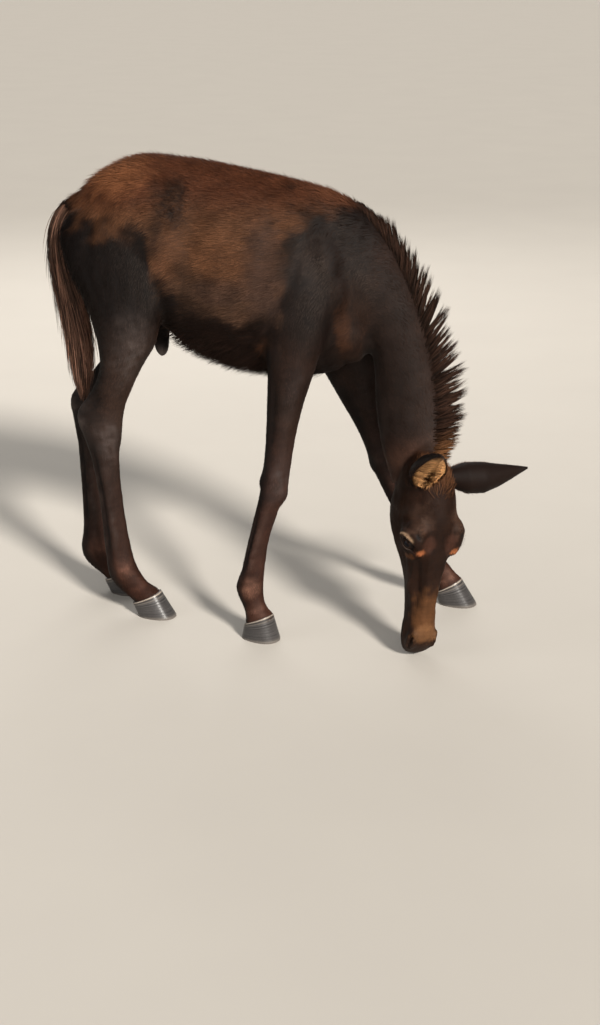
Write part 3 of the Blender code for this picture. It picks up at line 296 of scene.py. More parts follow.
def grid_quads(rows, columns, closed=True):
    """Quads of a grid of points, whose last column joins the first when closed."""
    r = np.arange(rows - 1)[:, None] * columns
    k = np.arange(columns if closed else columns - 1)[None]
    n = (k + 1) % columns
    return np.stack([r + k, r + n, r + columns + n, r + columns + k], -1).reshape(-1, 4)


def volume(points, quads, tris):
    """Signed volume: the sum of a . (b x c) / 6 over the triangles."""
    every = np.concatenate([quads[:, [0, 1, 2]], quads[:, [0, 2, 3]], tris])
    a, b, c = (points[every[:, i]] for i in range(3))
    return (a * np.cross(b, c)).sum() / 6


def loft(rings):
    """A closed mesh through rings (n, k, 3), with a fan to the middle of each end."""
    n, k = rings.shape[:2]
    points = np.concatenate([rings.reshape(-1, 3), rings[[0, -1]].mean(1)])
    quads = grid_quads(n, k)
    here = np.arange(k)
    there = np.roll(here, -1)
    last = (n - 1) * k
    tris = np.concatenate([np.stack([there, here, np.full(k, n * k)], 1),
                           np.stack([last + here, last + there, np.full(k, n * k + 1)], 1)])
    if volume(points, quads, tris) < 0:
        quads, tris = quads[:, ::-1], tris[:, ::-1]
    return points, quads, tris


def unit_ball(rows, columns, pole):
    """Angles u from a pole and rings (sin u cos v, sin u sin v, cos u), which leave the poles
    open for a loft."""
    u = np.linspace(pole, np.pi - pole, rows)[:, None]
    v = np.linspace(0, 2 * np.pi, columns, endpoint=False)[None]
    return u, np.stack([np.sin(u) * np.cos(v), np.sin(u) * np.sin(v), np.cos(u) + 0 * v], -1)


def ellipsoid(centre, sizes):
    """P = centre + sizes * a point of the unit ball."""
    return np.array(centre) + unit_ball(14, 20, 0.04)[1] * np.array(sizes)


def joined(parts):
    """One mesh of several (points, quads, tris)."""
    starts = np.cumsum([0] + [len(part[0]) for part in parts])[:-1]
    return (np.concatenate([part[0] for part in parts]),
            *(np.concatenate([part[i] + start for part, start in zip(parts, starts)])
              for i in (1, 2)))


def mesh_of(name, points, *face_sets):
    """A mesh from arrays of points and of faces with the same number of corners."""
    mesh = bpy.data.meshes.new(name)
    mesh.vertices.add(len(points))
    mesh.vertices.foreach_set("co", np.asarray(points, np.float32).ravel())
    faces = [f for f in face_sets if len(f)]
    sizes = np.concatenate([np.full(len(f), f.shape[1]) for f in faces])
    mesh.loops.add(int(sizes.sum()))
    mesh.loops.foreach_set("vertex_index",
                           np.concatenate([f.ravel() for f in faces]).astype(np.int32))
    mesh.polygons.add(len(sizes))
    starts = np.concatenate([[0], np.cumsum(sizes)[:-1]])
    mesh.polygons.foreach_set("loop_start", starts.astype(np.int32))
    mesh.update(calc_edges=True)
    return mesh


def piece(name, mesh, material, nodes=()):
    """A finished piece of the figure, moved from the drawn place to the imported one."""
    mesh.transform(Matrix.Translation(SHIFT))
    mesh.materials.append(material)
    thing = bpy.data.objects.new(name, mesh)
    bpy.context.scene.collection.objects.link(thing)
    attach(thing, "root")
    if nodes:
        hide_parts(*nodes)
    return thing


def taken(items, field, size, kind_of_number):
    """A field of many items as an array with size numbers in each row."""
    values = np.empty(len(items) * size, kind_of_number)
    items.foreach_get(field, values)
    return values.reshape(-1, size)


def read(mesh):
    """Points, vertex normals, edges and triangles of a mesh as arrays."""
    mesh.calc_loop_triangles()
    return (taken(mesh.vertices, "co", 3, np.float32).astype(float),
            taken(mesh.vertex_normals, "vector", 3, np.float32).astype(float),
            taken(mesh.edges, "vertices", 2, np.int32),
            taken(mesh.loop_triangles, "vertices", 3, np.int32))


def paint(mesh, name, colours):
    """A colour for every vertex, as an attribute that the materials read."""
    layer = mesh.attributes.new(name, "FLOAT_COLOR", "POINT")
    rgba = np.concatenate([colours, np.ones((len(colours), 1))], 1)
    layer.data.foreach_set("color", rgba.astype(np.float32).ravel())


def smooth(mesh):
    """Smooth shading on every face."""
    mesh.polygons.foreach_set("use_smooth", np.ones(len(mesh.polygons), bool))


def relaxed(points, edges, rounds, share):
    """Each point moved by its share of the way to the mean of its neighbours, over and over."""
    a, b = edges.T
    count = np.bincount(a, minlength=len(points)) + np.bincount(b, minlength=len(points))
    points = points.copy()
    for _ in range(rounds):
        for axis in range(3):
            total = (np.bincount(a, points[b, axis], len(points))
                     + np.bincount(b, points[a, axis], len(points)))
            points[:, axis] += share * (total / np.maximum(count, 1) - points[:, axis])
    return points


# Samples of each part in one row, and how sharply one part's coat gives way to the next.
AXIS_STEPS = 5
BLEND_SHARPNESS = 10.0
# Width of each part's strip on the chart of the skin, and the size of a hair's patch there.
CHART = {"trunk": 0.26, "neck": 0.14, "head": 0.16, "hind_right": 0.09, "hind_left": 0.09,
         "fore_right": 0.09, "fore_left": 0.09, "dock": 0.04, "sheath": 0.04}
PATCH = 0.003


def axis_samples():
    """For each part: middles and half axes to the first edge and aside, sampled finely."""
    samples = {}
    for name, rows in (("trunk", TRUNK), ("neck", NECK), ("dock", DOCK), ("sheath", SHEATH),
                       *LIMBS.items()):
        samples[name] = sections(through(rows, AXIS_STEPS))
    samples["head"] = head_sections(through(HEAD, AXIS_STEPS))
    return samples


def nearest_row(points, sample):
    """Row, angle from the first edge and section distance of each point on one part: the
    smallest sqrt(c^2 + s^2 + l^2), c and s in half axes and l along in half widths."""
    middle, reach, side = sample
    step = np.gradient(middle, axis=0)
    size = np.linalg.norm(side, axis=1)
    spacing = np.linalg.norm(step, axis=1)
    scaled = (reach / (reach ** 2).sum(1, keepdims=True), side / (side ** 2).sum(1, keepdims=True),
              unit(step) / size[:, None])
    c, s, along = (points @ m.T - (middle * m).sum(1) for m in scaled)
    far = c * c + s * s + along * along
    best = far.argmin(1)
    pick = np.arange(len(points))
    shift = np.clip(along[pick, best] * size[best] / spacing[best], -0.6, 0.6)
    row = (best + shift) / AXIS_STEPS
    return row, np.arctan2(s[pick, best], c[pick, best]), np.sqrt(far[pick, best])


def kind(part):
    """The coat table's name for a part."""
    return part.split("_")[0]


# Which way the coat lies on the barrel, the rump and the breast, and what is added to the run
# of the neck and of the limbs.
BARREL_LIE = (-1.0, 0.0, -0.28)
RUMP_LIE = (-0.35, 0.0, -1.0)
BREAST_LIE = (0.1, 0.0, -1.0)
NECK_LIE = (-0.15, 0.0, -0.55)
LIMB_LIE = (-0.12, 0.0, 0.0)
# How far down from the poll the coat of the forehead parts.
FACE_WHORL = 0.112
# The whorl on each flank, where the coat stands up in clumps: centre and half sizes.
FLANK_WHORL = ((-0.085, 0.115, 0.900), (0.036, 0.080, 0.052))


def in_whorl(points, wider=1.0):
    """Bell of the scaled distance from the flank's whorl, the same on both sides."""
    centre, sizes = FLANK_WHORL
    away = (points * (1, 0, 1) + np.abs(points) * (0, 1, 0) - centre) / sizes
    return bell(np.linalg.norm(away, axis=1) / wider)


def lie_of(part, points, sample, row):
    """Which way the coat grows on one part, before it is laid on the skin."""
    if part == "trunk":
        return layered(BARREL_LIE, (RUMP_LIE, ramp(-0.22, -0.30, points[:, 0])),
                       (BREAST_LIE, ramp(0.25, 0.29, points[:, 0])))
    if part == "head":
        down, face, side = to_head(points).T
        flow = np.stack([1.0 + 0 * down, -0.30 * ramp(0.04, -0.02, face), 6.0 * side], 1)
        whorl = unit(np.stack([down - FACE_WHORL, 0 * down, side * 1.1], 1))
        return mix(whorl, unit(flow), ramp(0.13, 0.24, down)) @ HEAD_AXES
    flow = at_row(unit(np.gradient(sample[0], axis=0)), row * AXIS_STEPS)
    if part == "neck":
        return -flow + np.array(NECK_LIE)
    return flow + np.array(LIMB_LIE) if part in LIMBS else flow


def survey(points, normals):
    """Everything about the coat at points of the skin: the lie, the coat table's columns, each
    part's share, and for the nearest part its place on the chart, its row and the angle."""
    samples = axis_samples()
    names = list(samples)
    rows, angles, far = (np.stack(v) for v in zip(
        *(nearest_row(points, samples[name]) for name in names)))
    share = np.exp(-BLEND_SHARPNESS * (far - far.min(0)))
    share /= share.sum(0)
    lie = np.zeros_like(points)
    coat = np.zeros((len(points), COAT_COLUMNS))
    for i, name in enumerate(names):
        table = np.array(COAT[kind(name)])
        columns = [np.interp(rows[i], table[:, 0], table[:, c + 1]) for c in range(COAT_COLUMNS)]
        coat += np.stack(columns, 1) * share[i][:, None]
        lie += unit(lie_of(name, points, samples[name], rows[i])) * share[i][:, None]
    lie = unit(lie - normals * (lie * normals).sum(1, keepdims=True))
    best = far.argmin(0)
    pick = np.arange(len(points))
    starts = np.cumsum([0.0] + [CHART[name] for name in names])[:-1]
    widths = np.array([CHART[name] for name in names])
    lengths = np.array([(len(samples[name][0]) - 1) / AXIS_STEPS for name in names])
    turn = angles[best, pick] / (2 * np.pi) + 0.5
    chart = np.stack([starts[best] + widths[best] * (0.02 + 0.96 * turn),
                      0.01 + 0.98 * np.clip(rows[best, pick] / lengths[best], 0, 1)], 1)
    return {"lie": lie, "coat": coat, "share": dict(zip(names, share)), "chart": chart,
            "row": dict(zip(names, rows)), "angle": dict(zip(names, angles))}


def flesh():
    """Every part of the body as a closed shell, each overlapping its neighbours."""
    shells = [loft(ovals(*sections(through(TRUNK, 3)), 28, 1.75, 2.2)),
              loft(ovals(*sections(through(NECK, 3)), 24, 1.8, 2.1)),
              loft(ovals(*head_sections(through(HEAD, 3)), 24, 2.3, 2.1))]
    shells += [loft(ovals(*sections(through(rows, 3)), 20))
               for rows in (DOCK, SHEATH, *LIMBS.values())]
    shells += [loft(ellipsoid(centre, sizes)) for centre, sizes in SHELLS]
    shells += [loft(from_head(ellipsoid((down, face, aside * side), sizes)))
               for (down, face, aside), sizes in HEAD_SHELLS for side in (1, -1)]
    return joined(shells)


def shown(thing):
    """The mesh of an object with its modifiers applied; the object is removed."""
    bpy.context.view_layer.update()
    seen = thing.evaluated_get(bpy.context.evaluated_depsgraph_get())
    mesh = bpy.data.meshes.new_from_object(seen)
    bpy.data.objects.remove(thing)
    return mesh


def fused(mesh):
    """One even skin of quads over overlapping shells."""
    thing = bpy.data.objects.new("flesh", mesh)
    bpy.context.scene.collection.objects.link(thing)
    remesh = thing.modifiers.new("Fuse", "REMESH")
    remesh.mode = "VOXEL"
    remesh.voxel_size = SKIN_VOXEL
    soften = thing.modifiers.new("Soften", "SMOOTH")
    soften.factor = SKIN_SOFTNESS
    soften.iterations = SKIN_ROUNDS
    return shown(thing)


def largest(mesh):
    """Points and quads of the largest connected surface: labels spread along the edges until
    none changes, and the commonest label stays."""
    points, _, edges, _ = read(mesh)
    quads = taken(mesh.loops, "vertex_index", 1, np.int32).reshape(-1, 4)
    label = np.arange(len(points))
    while True:
        before = label.copy()
        low = np.minimum(label[edges[:, 0]], label[edges[:, 1]])
        np.minimum.at(label, edges[:, 0], low)
        np.minimum.at(label, edges[:, 1], low)
        label = label[label]
        if (label == before).all():
            break
    kept = label == np.bincount(label).argmax()
    number = np.cumsum(kept) - 1
    return points[kept], number[quads[kept[quads[:, 0]]]]


def refine(mesh, chosen):
    """Splits each edge with both ends chosen, and the faces between them."""
    work = bmesh.new()
    work.from_mesh(mesh)
    work.edges.ensure_lookup_table()
    _, _, edges, _ = read(mesh)
    picked = np.nonzero(chosen[edges].all(1))[0]
    bmesh.ops.subdivide_edges(work, edges=[work.edges[i] for i in picked.tolist()], cuts=1,
                              use_grid_fill=True)
    work.to_mesh(mesh)
    work.free()


def set_points(mesh, points):
    mesh.vertices.foreach_set("co", points.astype(np.float32).ravel())
    mesh.update()


EYES = {"eye_right": 1, "eye_left": -1}
EYE_LOOK = (-0.06, 0.56, 0.83)
EYE_SLANT = (0.45, 0.89)
# Reach of the opening between the lids, in degrees from the line of sight.
LID_LONG = 66
LID_UP = 27
LID_LOW = 24
# The skin at an eye: how far from the middle it is moved, in radii, and how far behind; its
# height over the ball, with a swelling's height, place and reach; and its depth in the opening.
SOCKET_REACH = 1.9
SOCKET_BACK = -0.3
SOCKET_RISE = 0.0014
SOCKET_SWELL = (0.0016, 1.3, 0.3)
SOCKET_DEPTH = 0.004
# The mouth's path: the middle, the reach and the half width, and its level in the face.
MOUTH_RUN = (0.333, 0.078, 0.034)
MOUTH_LEVEL = -0.008
MOUTH_SLOPE = 0.002
MOUTH_TURN = 100
# The slit of the right nostril, and where the skin gets fine round eyes and nostrils.
NOSTRIL = ((0.366, 0.028, 0.027), (0.379, 0.024, 0.028), (0.386, 0.016, 0.025))
FINE_NOSE = ((0.365, 0.024, 0.027), (0.385, 0.020, 0.027))
FINE_EYE = ((0.155, 0.030, 0.055), (0.170, 0.030, 0.055))
# Mouth and nostrils as furrows: a rim's height, distance and reach, a slit's depth and width.
LIP_FURROW = (0.0018, 0.006, 0.004, 0.0045, 0.0022)
NOSTRIL_FURROW = (0.0022, 0.008, 0.0035, 0.0120, 0.0042)
# The lips begin this far down, and show in full a little further on.
LIPS_FROM = 0.33
LIPS_FADE = (0.335, 0.345)
# How near to eyes, mouth and nostrils the skin is refined once more.
FINE_EYE_REACH = 0.024
FINE_MOUTH_REACH = 0.006
FINE_NOSE_REACH = 0.016
# Bare skin: round an eye in radii and in shares of the opening, more of it on the upper side,
# and beside the slits of nostrils and mouth.
BARE_RADII = 1.7
BARE_LID = 1.62
BARE_FOLD = 0.55
BARE_NOSTRIL = 0.0050
BARE_LIP = 0.0030
# Boxes of the head's own frame in which the skin is refined, and then relaxed.
FAR_AWAY = 9.0
REFINED = ((0.0, -0.105, -0.08), (0.43, 0.095, 0.08))
RELAXED = ((-0.01, -0.115, -0.085), (FAR_AWAY, FAR_AWAY, 0.085))
# What mirrors a point to the other side, in the drawn frame and in the head's.
BODY_MIRROR = (1, -1, 1)
HEAD_MIRROR = (1, 1, -1)


def forms(*rows):
    """Sculpted forms in metres, as paths, reach aside and rise, from rows in millimetres:
    reach, rise, and the points of the path."""
    return [(np.array(path) / 1000, reach / 1000, rise / 1000) for reach, rise, *path in rows]


# On the body in the drawn frame, and mirrored to the other side.
BODY_FORMS = forms(
    (26, 6, (-105, 115, 905), (-120, 118, 890)), (32, -7, (-40, 120, 885), (-50, 130, 830)),
    (30, 6, (-100, 145, 720), (-112, 143, 690)),
    (13, -4, (-215, 120, 930), (-262, 125, 860), (-262, 125, 760)),
    (14, 3, (185, 80, 905), (245, 110, 760)), (26, -4, (130, 110, 880), (110, 130, 760)),
    (22, -3, (185, 110, 860), (205, 120, 780)), (34, 6, (150, 130, 745), (125, 130, 690)),
    (30, 5, (262, 42, 700), (258, 45, 640)),
    (14, -3, (310, 42, 640), (340, 44, 520), (352, 60, 440)),
    (30, -4, (70, 130, 640), (60, 120, 600)),
)
# Along the middle: the breast's groove, the line of the back and the line of the belly.
MIDDLE_FORMS = forms(
    (12, -6, (305, 0, 720), (300, 0, 600)), (12, -3, (-240, 0, 985), (-310, 0, 930)),
    (16, -2, (-20, 0, 560), (150, 0, 540)),
)
# On the head, in its own frame: down, face, side.
HEAD_FORMS = forms(
    (8, 4, (132, 58, 36), (140, 40, 60), (150, 8, 66)), (6, -5, (141, 62, 47), (137, 60, 50)),
    (13, -6, (108, 44, 48), (116, 22, 60)), (7, 4.5, (195, 14, 50), (235, 6, 42), (268, 6, 34)),
    (9, -4, (196, 40, 38), (250, 32, 28), (300, 26, 24)),
    (6, 2.6, (180, 60, 20), (260, 50, 16), (330, 42, 13)),
    (3, 1.4, (215, 24, 36), (245, 14, 34), (275, -4, 32)),
    (12, 2, (10, 40, 0), (60, 64, 0), (100, 76, 0)), (30, 3, (120, -45, 56), (170, -50, 50)),
    (16, -3.5, (215, -30, 40), (260, -22, 32)),
    (5, 3, (362, 32, 26), (376, 34, 30), (388, 22, 28)), (8, -2, (350, 16, 34), (366, 8, 34)),
    (8, 2, (398, 10, 18), (404, 4, 0)), (10, 2.5, (385, -24, 10), (390, -28, 0)),
    (20, -2, (40, 30, 48), (80, 40, 52)), (18, 1.8, (75, 64, 12), (110, 70, 10)),
)
# On each kind of limb: row, reach along in rows, angle from the front edge and reach round it
# in degrees, and rise. Both sides of a limb get it.
LIMB_FORMS = {
    "hind": (
        (7.5, 0.8, 112, 26, -0.0085), (8.15, 0.5, 180, 34, 0.0055), (8.9, 0.5, 55, 34, 0.0030),
        (8.7, 0.4, 112, 26, -0.0035), (9.6, 0.4, 90, 30, 0.0020), (11.0, 1.6, 122, 15, -0.0050),
        (11.2, 1.4, 40, 16, -0.0012), (13.2, 0.45, 176, 40, 0.0055), (13.0, 0.45, 88, 28, 0.0032),
        (14.15, 0.40, 180, 50, -0.0042), (14.80, 0.20, 0, 200, 0.0018),
        (5.4, 1.0, 66, 36, 0.0050), (6.3, 0.8, 146, 26, -0.0050), (4.6, 0.8, 128, 20, -0.0040),
        (6.9, 0.5, 30, 24, -0.0025),
    ),
    "fore": (
        (8.3, 0.45, 180, 30, 0.0065), (8.75, 0.40, 0, 50, 0.0040), (9.35, 0.25, 0, 60, -0.0022),
        (8.0, 0.35, 88, 34, 0.0035), (8.65, 0.30, 92, 26, -0.0028), (9.2, 0.35, 88, 30, 0.0024),
        (11.0, 1.5, 122, 15, -0.0050), (11.2, 1.3, 42, 16, -0.0012),
        (13.0, 0.45, 176, 40, 0.0055), (12.9, 0.45, 88, 28, 0.0032),
        (14.15, 0.40, 180, 50, -0.0042), (14.80, 0.20, 0, 200, 0.0018),
        (5.3, 0.9, 56, 32, 0.0050), (6.1, 1.0, 118, 16, -0.0045), (6.6, 0.8, 30, 16, -0.0022),
        (4.2, 0.6, 150, 36, 0.0040),
    ),
}


def near_path(points, path, mirror=None):
    """Distance from each point to a broken line, or to the nearer of it and its mirror image."""
    best = np.full(len(points), FAR_AWAY)
    for a, b in zip(np.array(path[:-1]), np.array(path[1:])):
        along = b - a
        t = np.clip((points - a) @ along / (along @ along), 0, 1)
        best = np.minimum(best, np.linalg.norm(points - a - t[:, None] * along, axis=1))
    return best if mirror is None else np.minimum(best, near_path(points * mirror, path))


def near_mouth(local, count=25):
    """Distance to the mouth's path round the muzzle, from corner to corner."""
    angle = np.radians(np.linspace(-MOUTH_TURN, MOUTH_TURN, count))
    middle, reach, half = MOUTH_RUN
    return near_path(local, np.stack([middle + reach * np.cos(angle),
                                      MOUTH_LEVEL - MOUTH_SLOPE * np.cos(angle),
                                      half * np.sin(angle)], -1))


def near_nostrils(local):
    """Distance to the slit of the right nostril and to that of the left."""
    return [near_path(local, np.array(NOSTRIL) * (1, 1, side)) for side in (1, -1)]


def furrow(distance, height, away, reach, depth, width):
    """A rim less a slit: height * bell((d - away) / reach) - depth * bell(d / width)."""
    return height * bell((distance - away) / reach) - depth * bell(distance / width)


def within(local, box):
    """Which points are inside a box of the head's own frame."""
    low, high = box
    return ((local > low) & (local < high)).all(1)


def limb_rise(row, angle, share, table):
    """Sum of the forms' rises: bell(rows away) * bell(degrees away), on both sides."""
    rise = np.zeros(len(row))
    degrees = np.abs(np.degrees(angle))
    for at, reach, round_at, round_reach, height in table:
        rise += height * bell((row - at) / reach) * bell((degrees - round_at) / round_reach)
    return rise * share


def eye_place(name):
    """Middle and radius of a CAD eye, and its unit axes: along the lids to the inner corner,
    across them to the upper lid, and outward."""
    low, high = (np.array(corner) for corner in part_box(name))
    out = unit(np.array((EYE_LOOK[0], EYE_LOOK[1], EYES[name] * EYE_LOOK[2])) @ HEAD_AXES)
    along = np.array((*EYE_SLANT, 0.0)) @ HEAD_AXES
    along = unit(along - out * (along @ out))
    across = np.cross(out, along)
    upward = across @ HEAD_AXES[0] < 0
    axes = np.stack([along, across if upward else -across, out])
    return (low + high) / 2 - SHIFT, (high - low)[2] / 2, axes


def lid_slopes(upper):
    """Slopes of the opening's edge: along the lids, and across them to the upper or lower."""
    return (np.tan(np.radians(LID_LONG)),
            np.where(upper, np.tan(np.radians(LID_UP)), np.tan(np.radians(LID_LOW))))


def in_opening(aim):
    """How far aims in an eye's axes lie from the line of sight, as a share of the opening:
    sqrt((a / tan long)^2 + (b / tan wide)^2) of the slopes a, b, more than 1 outside."""
    a, b, out = aim.T
    out = np.maximum(out, 1e-4)
    long, wide = lid_slopes(b > 0)
    share = np.sqrt((a / out / long) ** 2 + (b / out / wide) ** 2)
    return np.where(aim[:, 2] > 1e-4, share, FAR_AWAY)


def sculpted(points, normals, state):
    """The skin with its bony points, hollows, muscles, lips and sockets."""
    rise = np.zeros(len(points))
    trunk = 1.0 - state["share"]["head"]
    for table, mirror in ((BODY_FORMS, BODY_MIRROR), (MIDDLE_FORMS, None)):
        for path, reach, height in table:
            rise += height * bell(near_path(points, path, mirror) / reach) * trunk
    for name in LIMBS:
        rise += limb_rise(state["row"][name], state["angle"][name], state["share"][name],
                          LIMB_FORMS[kind(name)])
    local = to_head(points)
    for path, reach, height in HEAD_FORMS:
        near = near_path(local, path, HEAD_MIRROR)
        rise += height * bell(near / reach) * state["share"]["head"]
    rise += furrow(near_mouth(local), *LIP_FURROW) * ramp(*LIPS_FADE, local[:, 0])
    for slit in near_nostrils(local):
        rise += furrow(slit, *NOSTRIL_FURROW)
    points = points + normals * (rise - state["coat"][:, 4])[:, None]
    swell, place, reach = SOCKET_SWELL
    for name in EYES:
        centre, radius, axes = eye_place(name)
        aim = (points - centre) @ axes.T
        away = np.linalg.norm(aim, axis=1)
        close = (away < SOCKET_REACH * radius) & (aim[:, 2] > SOCKET_BACK * radius)
        opening = in_opening(aim)
        out = np.maximum(away, radius + SOCKET_RISE + swell * bell((opening - place) / reach))
        wanted = np.where(opening < 1.0, radius - SOCKET_DEPTH, out)
        wanted = np.where(close, wanted, away)
        points = centre + (points - centre) * (wanted / away)[:, None]
    return points


def build_skin():
    """The skin's points and what the coat needs to know there."""
    points, quads = largest(fused(mesh_of("flesh", *flesh())))
    mesh = mesh_of("skin", points, quads)
    refine(mesh, within(to_head(points), REFINED))
    local = to_head(read(mesh)[0])
    refine(mesh, (near_path(local, FINE_EYE, HEAD_MIRROR) < FINE_EYE_REACH)
           | ((near_mouth(local, 13) < FINE_MOUTH_REACH) & (local[:, 0] > LIPS_FROM))
           | (near_path(local, FINE_NOSE, HEAD_MIRROR) < FINE_NOSE_REACH))
    points, _, edges, _ = read(mesh)
    head = within(to_head(points), RELAXED)
    points[head] = relaxed(points, edges, 3, 0.5)[head]
    set_points(mesh, points)
    points, normals, _, _ = read(mesh)
    state = survey(points, normals)
    set_points(mesh, sculpted(points, normals, state))
    return mesh, state


EAR_LENGTH = 0.176
EAR_WALL = 0.0042
# How much the wall thins to the tip, the most of the half width it takes, and how far and how
# sharply the rim rolls in.
EAR_THINNING = 0.6
EAR_WALL_SHARE = 0.75
EAR_ROLL = 0.10
EAR_ROLL_POWER = 6
# Sections of an ear: share of its length, half width, how far it wraps round in degrees, bow
# to the opening, and sway aside.
EAR = (
    (-0.09, 0.0150, 150, 0.000, 0.0000), (0.05, 0.0225, 138, 0.000, 0.0010),
    (0.20, 0.0325, 108, 0.001, 0.0045), (0.40, 0.0335, 94, 0.003, 0.0075),
    (0.60, 0.0250, 86, 0.005, 0.0065), (0.78, 0.0155, 80, 0.007, 0.0035),
    (0.92, 0.0072, 78, 0.009, 0.0010), (1.00, 0.0024, 76, 0.010, 0.0000),
)
# Each ear: its root in the head's frame, which way it points, which way it opens, and the sign
# of its sway.
EARS = {
    "ear_right": ((0.037, 0.014, 0.035), (0.38, -0.72, 0.575), (0.12, -0.56, -0.82), 1),
    "ear_left": ((0.037, 0.010, -0.036), (0.84, 0.54, 0.02), (-0.50, 0.80, -0.25), -1),
}

HOOF_LENGTH = 0.084
HOOF_WIDTH = 0.064
CORONET_WIDTH = 0.053
CORONET_ROW = 14.85
CORONET_RISE = 0.0003
HOOF_SIDES = 56
HOOF_POWERS = (2.3, 2.6)
HOOF_RINGS = ((0.0, 0.97), (0.05, 1.0), (0.5, 1.0), (0.95, 1.0), (1.0, 0.985))
GROWTH_DEPTH = 0.004
GROWTH_PITCH = 60.0
# Each hoof: the limb, the middle of the sole, and heading in degrees.
HOOVES = {
    "hoof_hind_right": ("hind_right", (-0.158, -0.066), -5),
    "hoof_hind_left": ("hind_left", (-0.266, 0.052), 0),
    "hoof_fore_right": ("fore_right", (0.096, -0.131), -17),
    "hoof_fore_left": ("fore_left", (0.462, 0.173), -6),
}


def ear_frame(name):
    """Start, and unit axes of an ear: to the tip, to the opening, and aside."""
    root, toward, opening, _ = EARS[name]
    axis = unit(np.array(toward))
    front = np.array(opening)
    front = unit(front - axis * (front @ axis))
    return from_head(root), axis, front, np.cross(axis, front)


def ear_surface(name, share, turn, inside):
    """Points of an ear at shares of its length and turns -1 to 1 round its wrap:
    start + a L share + f bow + s sway + (s sin w - f cos w) r, w = wrap turn, r the half width
    or, on the inside, less the wall; the rim rolls in a little."""
    start, axis, front, aside = ear_frame(name)
    table = np.array(EAR)
    half, wrap, bow, sway = (np.interp(share, table[:, 0], table[:, i]) for i in (1, 2, 3, 4))
    sway = sway * EARS[name][3]
    angle = np.radians(wrap) * turn
    wall = EAR_WALL * (1.0 - EAR_THINNING * np.clip(share, 0, 1))
    rim = 1.0 - EAR_ROLL * np.abs(turn) ** EAR_ROLL_POWER
    reach = half * rim - np.where(inside, np.minimum(wall, EAR_WALL_SHARE * half), 0.0)
    around = aside * np.sin(angle)[..., None] - front * np.cos(angle)[..., None]
    return (start + axis * (EAR_LENGTH * share)[..., None] + front * bow[..., None]
            + aside * sway[..., None] + around * reach[..., None])


def ear_mesh(name):
    """A closed leaf rolled into a cup, outside then inside, as one ring at each section, with
    each point's share of the length and whether it is inside."""
    share = np.concatenate([np.linspace(-0.09, 0.9, 40), np.linspace(0.92, 1.0, 8)])
    turn = np.sin(np.linspace(-np.pi / 2, np.pi / 2, 25))
    turns = np.concatenate([turn, turn[::-1]])
    inside = np.arange(len(turns)) >= len(turn)
    grid = np.broadcast_arrays(share[:, None], turns[None], inside[None])
    mesh = mesh_of(name, *loft(ear_surface(name, *grid)))
    return mesh, np.append(np.repeat(share, len(turns)), share[[0, -1]]), \
        np.append(np.tile(inside, len(share)), (False, False))


def hoof_mesh(name):
    """Ovals from the ground up to the slanted coronet: centre, axes and sizes all go in a
    straight line from sole to coronet, and fine growth rings run round the wall."""
    limb, (x, y), heading = HOOVES[name]
    middle, reach, side = (at_row(v, CORONET_ROW) for v in sections(LIMBS[limb]))
    turn = np.radians(heading)
    ahead = np.array((np.cos(turn), np.sin(turn), 0.0))
    aside = np.array((-np.sin(turn), np.cos(turn), 0.0))
    share = np.concatenate([[0.0, 0.012], np.linspace(0.04, 0.96, 30), [0.985, 1.0]])
    table = np.array(HOOF_RINGS)
    grow = np.interp(share, table[:, 0], table[:, 1])
    grow = grow + GROWTH_DEPTH * np.sin(share * GROWTH_PITCH) * np.sin(np.pi * share)
    s = share[:, None]
    normal = np.cross(reach, side)
    top = middle - unit(normal) * CORONET_RISE * np.sign(normal[2])
    centre = np.array((x, y, 0.0)) * (1 - s) + top * s
    long_axis = (ahead * HOOF_LENGTH / 2 * (1 - s) + reach * s) * grow[:, None]
    wide = HOOF_WIDTH / 2 * (1 - s) + CORONET_WIDTH / 2 * s
    wide_axis = unit(aside * (1 - s) + unit(side) * s) * wide * grow[:, None]
    rings = ovals(centre, long_axis, wide_axis, HOOF_SIDES, *HOOF_POWERS)
    rings[:, :, 2] = np.maximum(rings[:, :, 2], 0.0)
    mesh = mesh_of(name, *loft(rings))
    return mesh, np.append(np.repeat(share, HOOF_SIDES), (0.0, 1.0))


def eye_mesh(name):
    """A ball round the CAD eye's middle, its cornea bulging a little along the line of sight:
    R (0.995 + 0.035 bell(angle / 34 degrees)). With it come the points on the unit ball."""
    centre, radius, axes = eye_place(name)
    u, ball = unit_ball(60, 72, 0.004)
    bulge = radius * (0.995 + 0.035 * bell(np.degrees(u) / 34.0))
    mesh = mesh_of(name, *loft(centre + (ball * bulge[..., None]) @ axes))
    return mesh, np.concatenate([ball.reshape(-1, 3), [[0, 0, 1], [0, 0, -1]]])


# Across a lid: share outward, height over the ball; the last points are the back.
LID_PROFILE = (
    (0.00, 0.0002), (-0.03, 0.0012), (-0.01, 0.0022), (0.04, 0.0028), (0.11, 0.0030),
    (0.19, 0.0024), (0.25, 0.0014), (0.31, 0.0020), (0.42, 0.0036), (0.56, 0.0044),
    (0.72, 0.0040), (0.88, 0.0024), (1.00, -0.0010), (0.60, -0.0010), (0.25, -0.0006),
)


